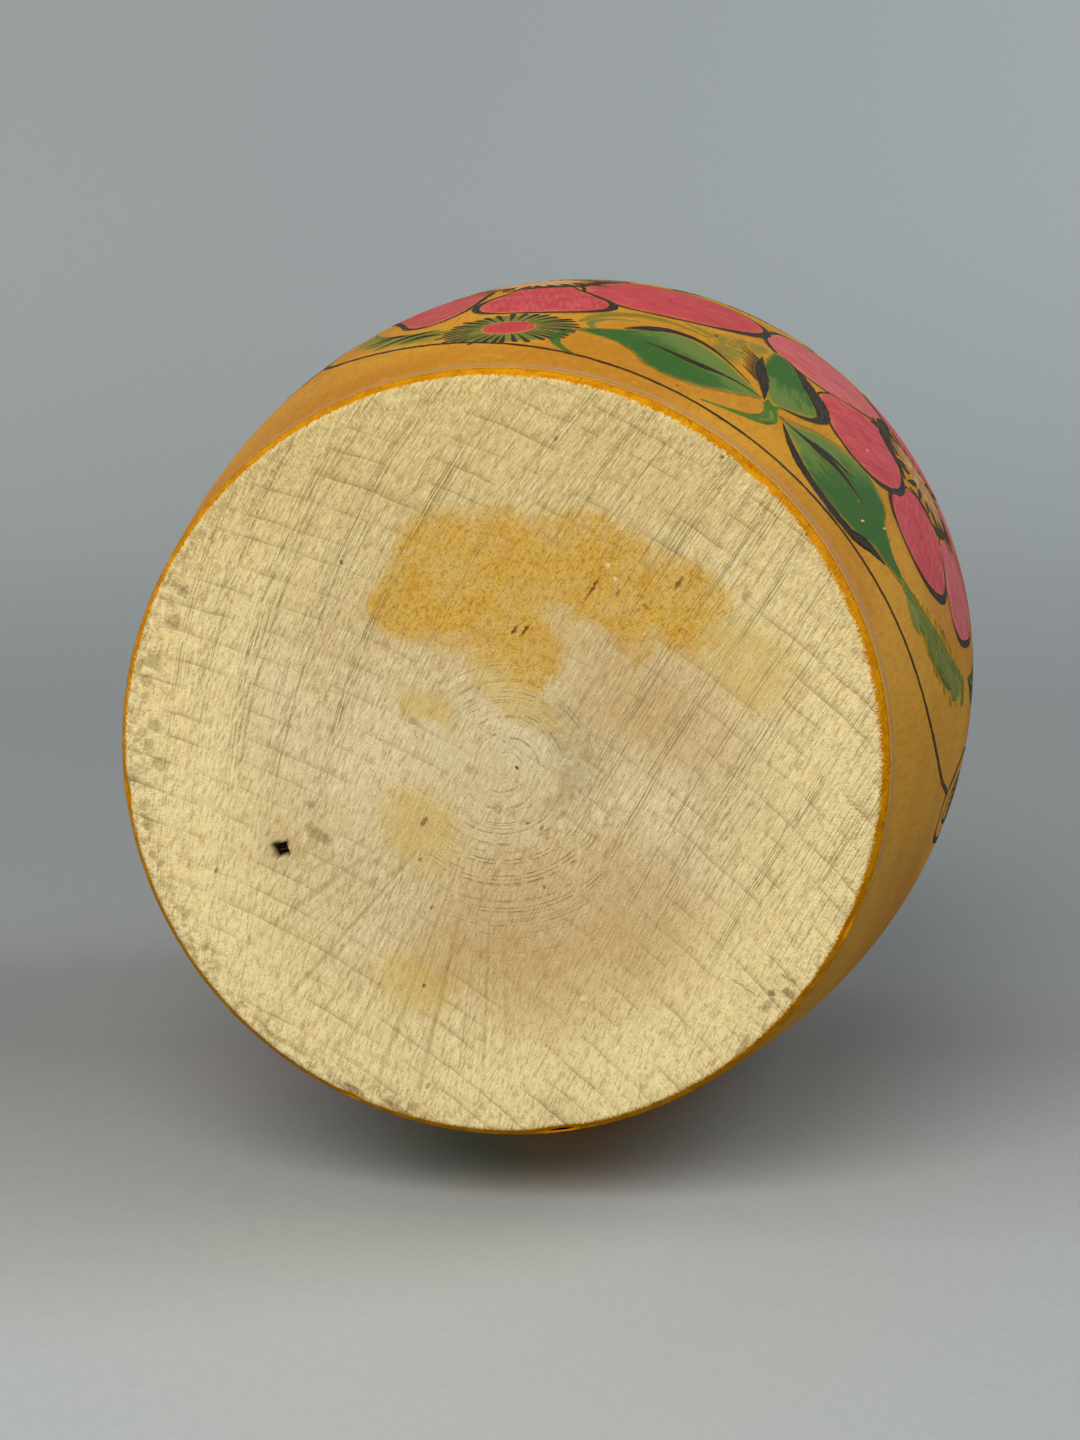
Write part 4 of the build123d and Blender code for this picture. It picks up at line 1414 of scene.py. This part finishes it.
# ---------------------------------------------------------------- floor and light
def stage_material(name, colour, shaded=False):
    """A plain pale surface, faintly mottled, that is only there when seen from its front. Where shaded, its
    colour is dimmed by its shade numbers, which is painted shade.
    """
    material = bpy.data.materials.new(name)
    material.use_nodes = True
    nodes, links = material.node_tree.nodes, material.node_tree.links
    bsdf = nodes["Principled BSDF"]
    bsdf.inputs["Roughness"].default_value = 0.7
    place = nodes.new("ShaderNodeTexCoord")
    noise = nodes.new("ShaderNodeTexNoise")
    noise.inputs["Scale"].default_value = 900.0
    noise.inputs["Detail"].default_value = 3.0
    links.new(place.outputs["Object"], noise.inputs["Vector"])
    ramp = nodes.new("ShaderNodeValToRGB")
    ramp.color_ramp.elements[0].color = srgb(*(c * 0.97 for c in colour))
    ramp.color_ramp.elements[1].color = srgb(*(c * 1.03 for c in colour))
    links.new(noise.outputs["Fac"], ramp.inputs["Fac"])
    colour = ramp.outputs["Color"]
    if shaded:
        shade = nodes.new("ShaderNodeAttribute")
        shade.attribute_name = "shade"
        dim = nodes.new("ShaderNodeVectorMath")
        dim.operation = "SCALE"
        links.new(colour, dim.inputs[0])
        links.new(shade.outputs["Fac"], dim.inputs["Scale"])
        colour = dim.outputs["Vector"]
    links.new(colour, bsdf.inputs["Base Color"])
    geometry = nodes.new("ShaderNodeNewGeometry")
    clear = nodes.new("ShaderNodeBsdfTransparent")
    mix = nodes.new("ShaderNodeMixShader")
    links.new(geometry.outputs["Backfacing"], mix.inputs["Fac"])
    links.new(bsdf.outputs[0], mix.inputs[1])
    links.new(clear.outputs[0], mix.inputs[2])
    links.new(mix.outputs[0], nodes["Material Output"].inputs["Surface"])
    return material


UP_IN_VIEW = Vector((0.0, 0.9885, 0.151)).normalized()  # the floor is seen from a little above
floor_up = in_row(UP_IN_VIEW).normalized()
axis = Vector((0, 0, 1))

# The sweep, in metres, measured on from where the belly rests.
SWEEP_FRONT = -1.5
SWEEP_FLAT = 0.6
SWEEP_BEND = 0.45
SWEEP_TOP = 2.5
SWEEP_HALF_WIDTH = 2.0
# Painted shade on the floor: darkest just behind where the belly rests, paler again up the backdrop.
DIM_FLOOR = ((-0.08, 1.0), (0.0, 0.62), (0.30, 0.61), (0.60, 0.80), (0.90, 0.95))  # (run, paleness)
SWEEP_COLOUR = (0.66, 0.67, 0.66)
TABLE_COLOUR = (0.72, 0.72, 0.71)
TABLE_DROP = 0.0003  # the upright views' floor is this far under the base, so that the two never meet


def build_sweep():
    """The floor that the bowl lies on, curving up far behind it into a backdrop."""
    back = (in_row((0, 0, -1)) - floor_up * in_row((0, 0, -1)).dot(floor_up)).normalized()
    side = floor_up.cross(back).normalized()
    belly = BELLY_RADIUS * MM
    lowest = axis * BELLY_HEIGHT * MM - (floor_up - axis * floor_up.dot(axis)).normalized() * belly
    section = [(SWEEP_FRONT, 0.0), (SWEEP_FRONT / 5, 0.0)]
    section += [(run, 0.0) for run in np.linspace(-0.1, SWEEP_FLAT, 36)]
    for t in np.linspace(0, math.pi / 2, 24)[1:]:
        section.append((SWEEP_FLAT + SWEEP_BEND * math.sin(t), SWEEP_BEND * (1 - math.cos(t))))
    section.append((SWEEP_FLAT + SWEEP_BEND, SWEEP_TOP))
    verts, faces = [], []
    for run, rise in section:
        for reach in (-SWEEP_HALF_WIDTH, SWEEP_HALF_WIDTH):
            verts.append(lowest + back * run + floor_up * rise + side * reach)
    for i in range(len(section) - 1):
        faces.append((2 * i, 2 * i + 2, 2 * i + 3, 2 * i + 1))
    mesh = bpy.data.meshes.new("sweep")
    mesh.from_pydata([tuple(v) for v in verts], [], faces)
    mesh.polygons.foreach_set("use_smooth", [True] * len(faces))
    shade = np.repeat(np.interp([run for run, _ in section], *zip(*DIM_FLOOR)), 2)
    attribute = mesh.attributes.new("shade", "FLOAT", "POINT")
    attribute.data.foreach_set("value", shade.astype(np.float32))
    mesh.materials.append(stage_material("sweep", SWEEP_COLOUR, shaded=True))
    sweep = bpy.data.objects.new("sweep", mesh)
    bpy.context.scene.collection.objects.link(sweep)
    if mesh.polygons[0].normal.dot(floor_up) < 0:
        mesh.flip_normals()
    sweep.visible_diffuse = False
    sweep.visible_shadow = False
    return sweep


CORNER_SIGNS = ((-1, -1), (1, -1), (1, 1), (-1, 1))


def build_table():
    """A pale floor under the base for the upright views. Only the camera sees it, and only from above."""
    mesh = bpy.data.meshes.new("table")
    corners = [(x * SWEEP_HALF_WIDTH, y * SWEEP_HALF_WIDTH, -TABLE_DROP) for x, y in CORNER_SIGNS]
    mesh.from_pydata(corners, [], [(0, 1, 2, 3)])
    mesh.materials.append(stage_material("table", TABLE_COLOUR))
    table = bpy.data.objects.new("table", mesh)
    bpy.context.scene.collection.objects.link(table)
    table.visible_diffuse = False
    table.visible_glossy = False
    table.visible_shadow = False
    table.visible_transmission = False
    return table


build_sweep()
build_table()


def area_light(name, place, aim, size, power, colour=(1, 1, 1)):
    data = bpy.data.lights.new(name, "AREA")
    data.shape = "DISK"
    data.size = size
    data.energy = power
    data.color = colour
    made = bpy.data.objects.new(name, data)
    made.location = in_row(place)
    made.rotation_euler = (in_row(aim) - made.location).to_track_quat("-Z", "Y").to_euler()
    bpy.context.scene.collection.objects.link(made)


# Places in the camera's axes, metres from the base's centre: a big soft key above and to the left in
# front, a cool one on the right of the backdrop, and one behind the bowl for the upright views.
area_light("key", (-0.20, 0.50, 0.80), (0.0, 0.0, 0.0), 0.7, 8.9, (1.0, 0.985, 0.95))
area_light("backdrop", (1.1, 0.9, -0.2), (0.5, 0.35, -1.1), 0.8, 12.5, (0.80, 0.90, 1.0))
area_light("far", (-0.75, 0.45, -0.85), (0.0, 0.0, -0.1), 0.9, 3.3, (1.0, 0.985, 0.97))

world = bpy.data.worlds.new("world")
world.use_nodes = True
world.node_tree.nodes["Background"].inputs["Color"].default_value = srgb(0.80, 0.82, 0.84)
world.node_tree.nodes["Background"].inputs["Strength"].default_value = 0.45
bpy.context.scene.world = world
bpy.context.scene.view_settings.view_transform = "Standard"
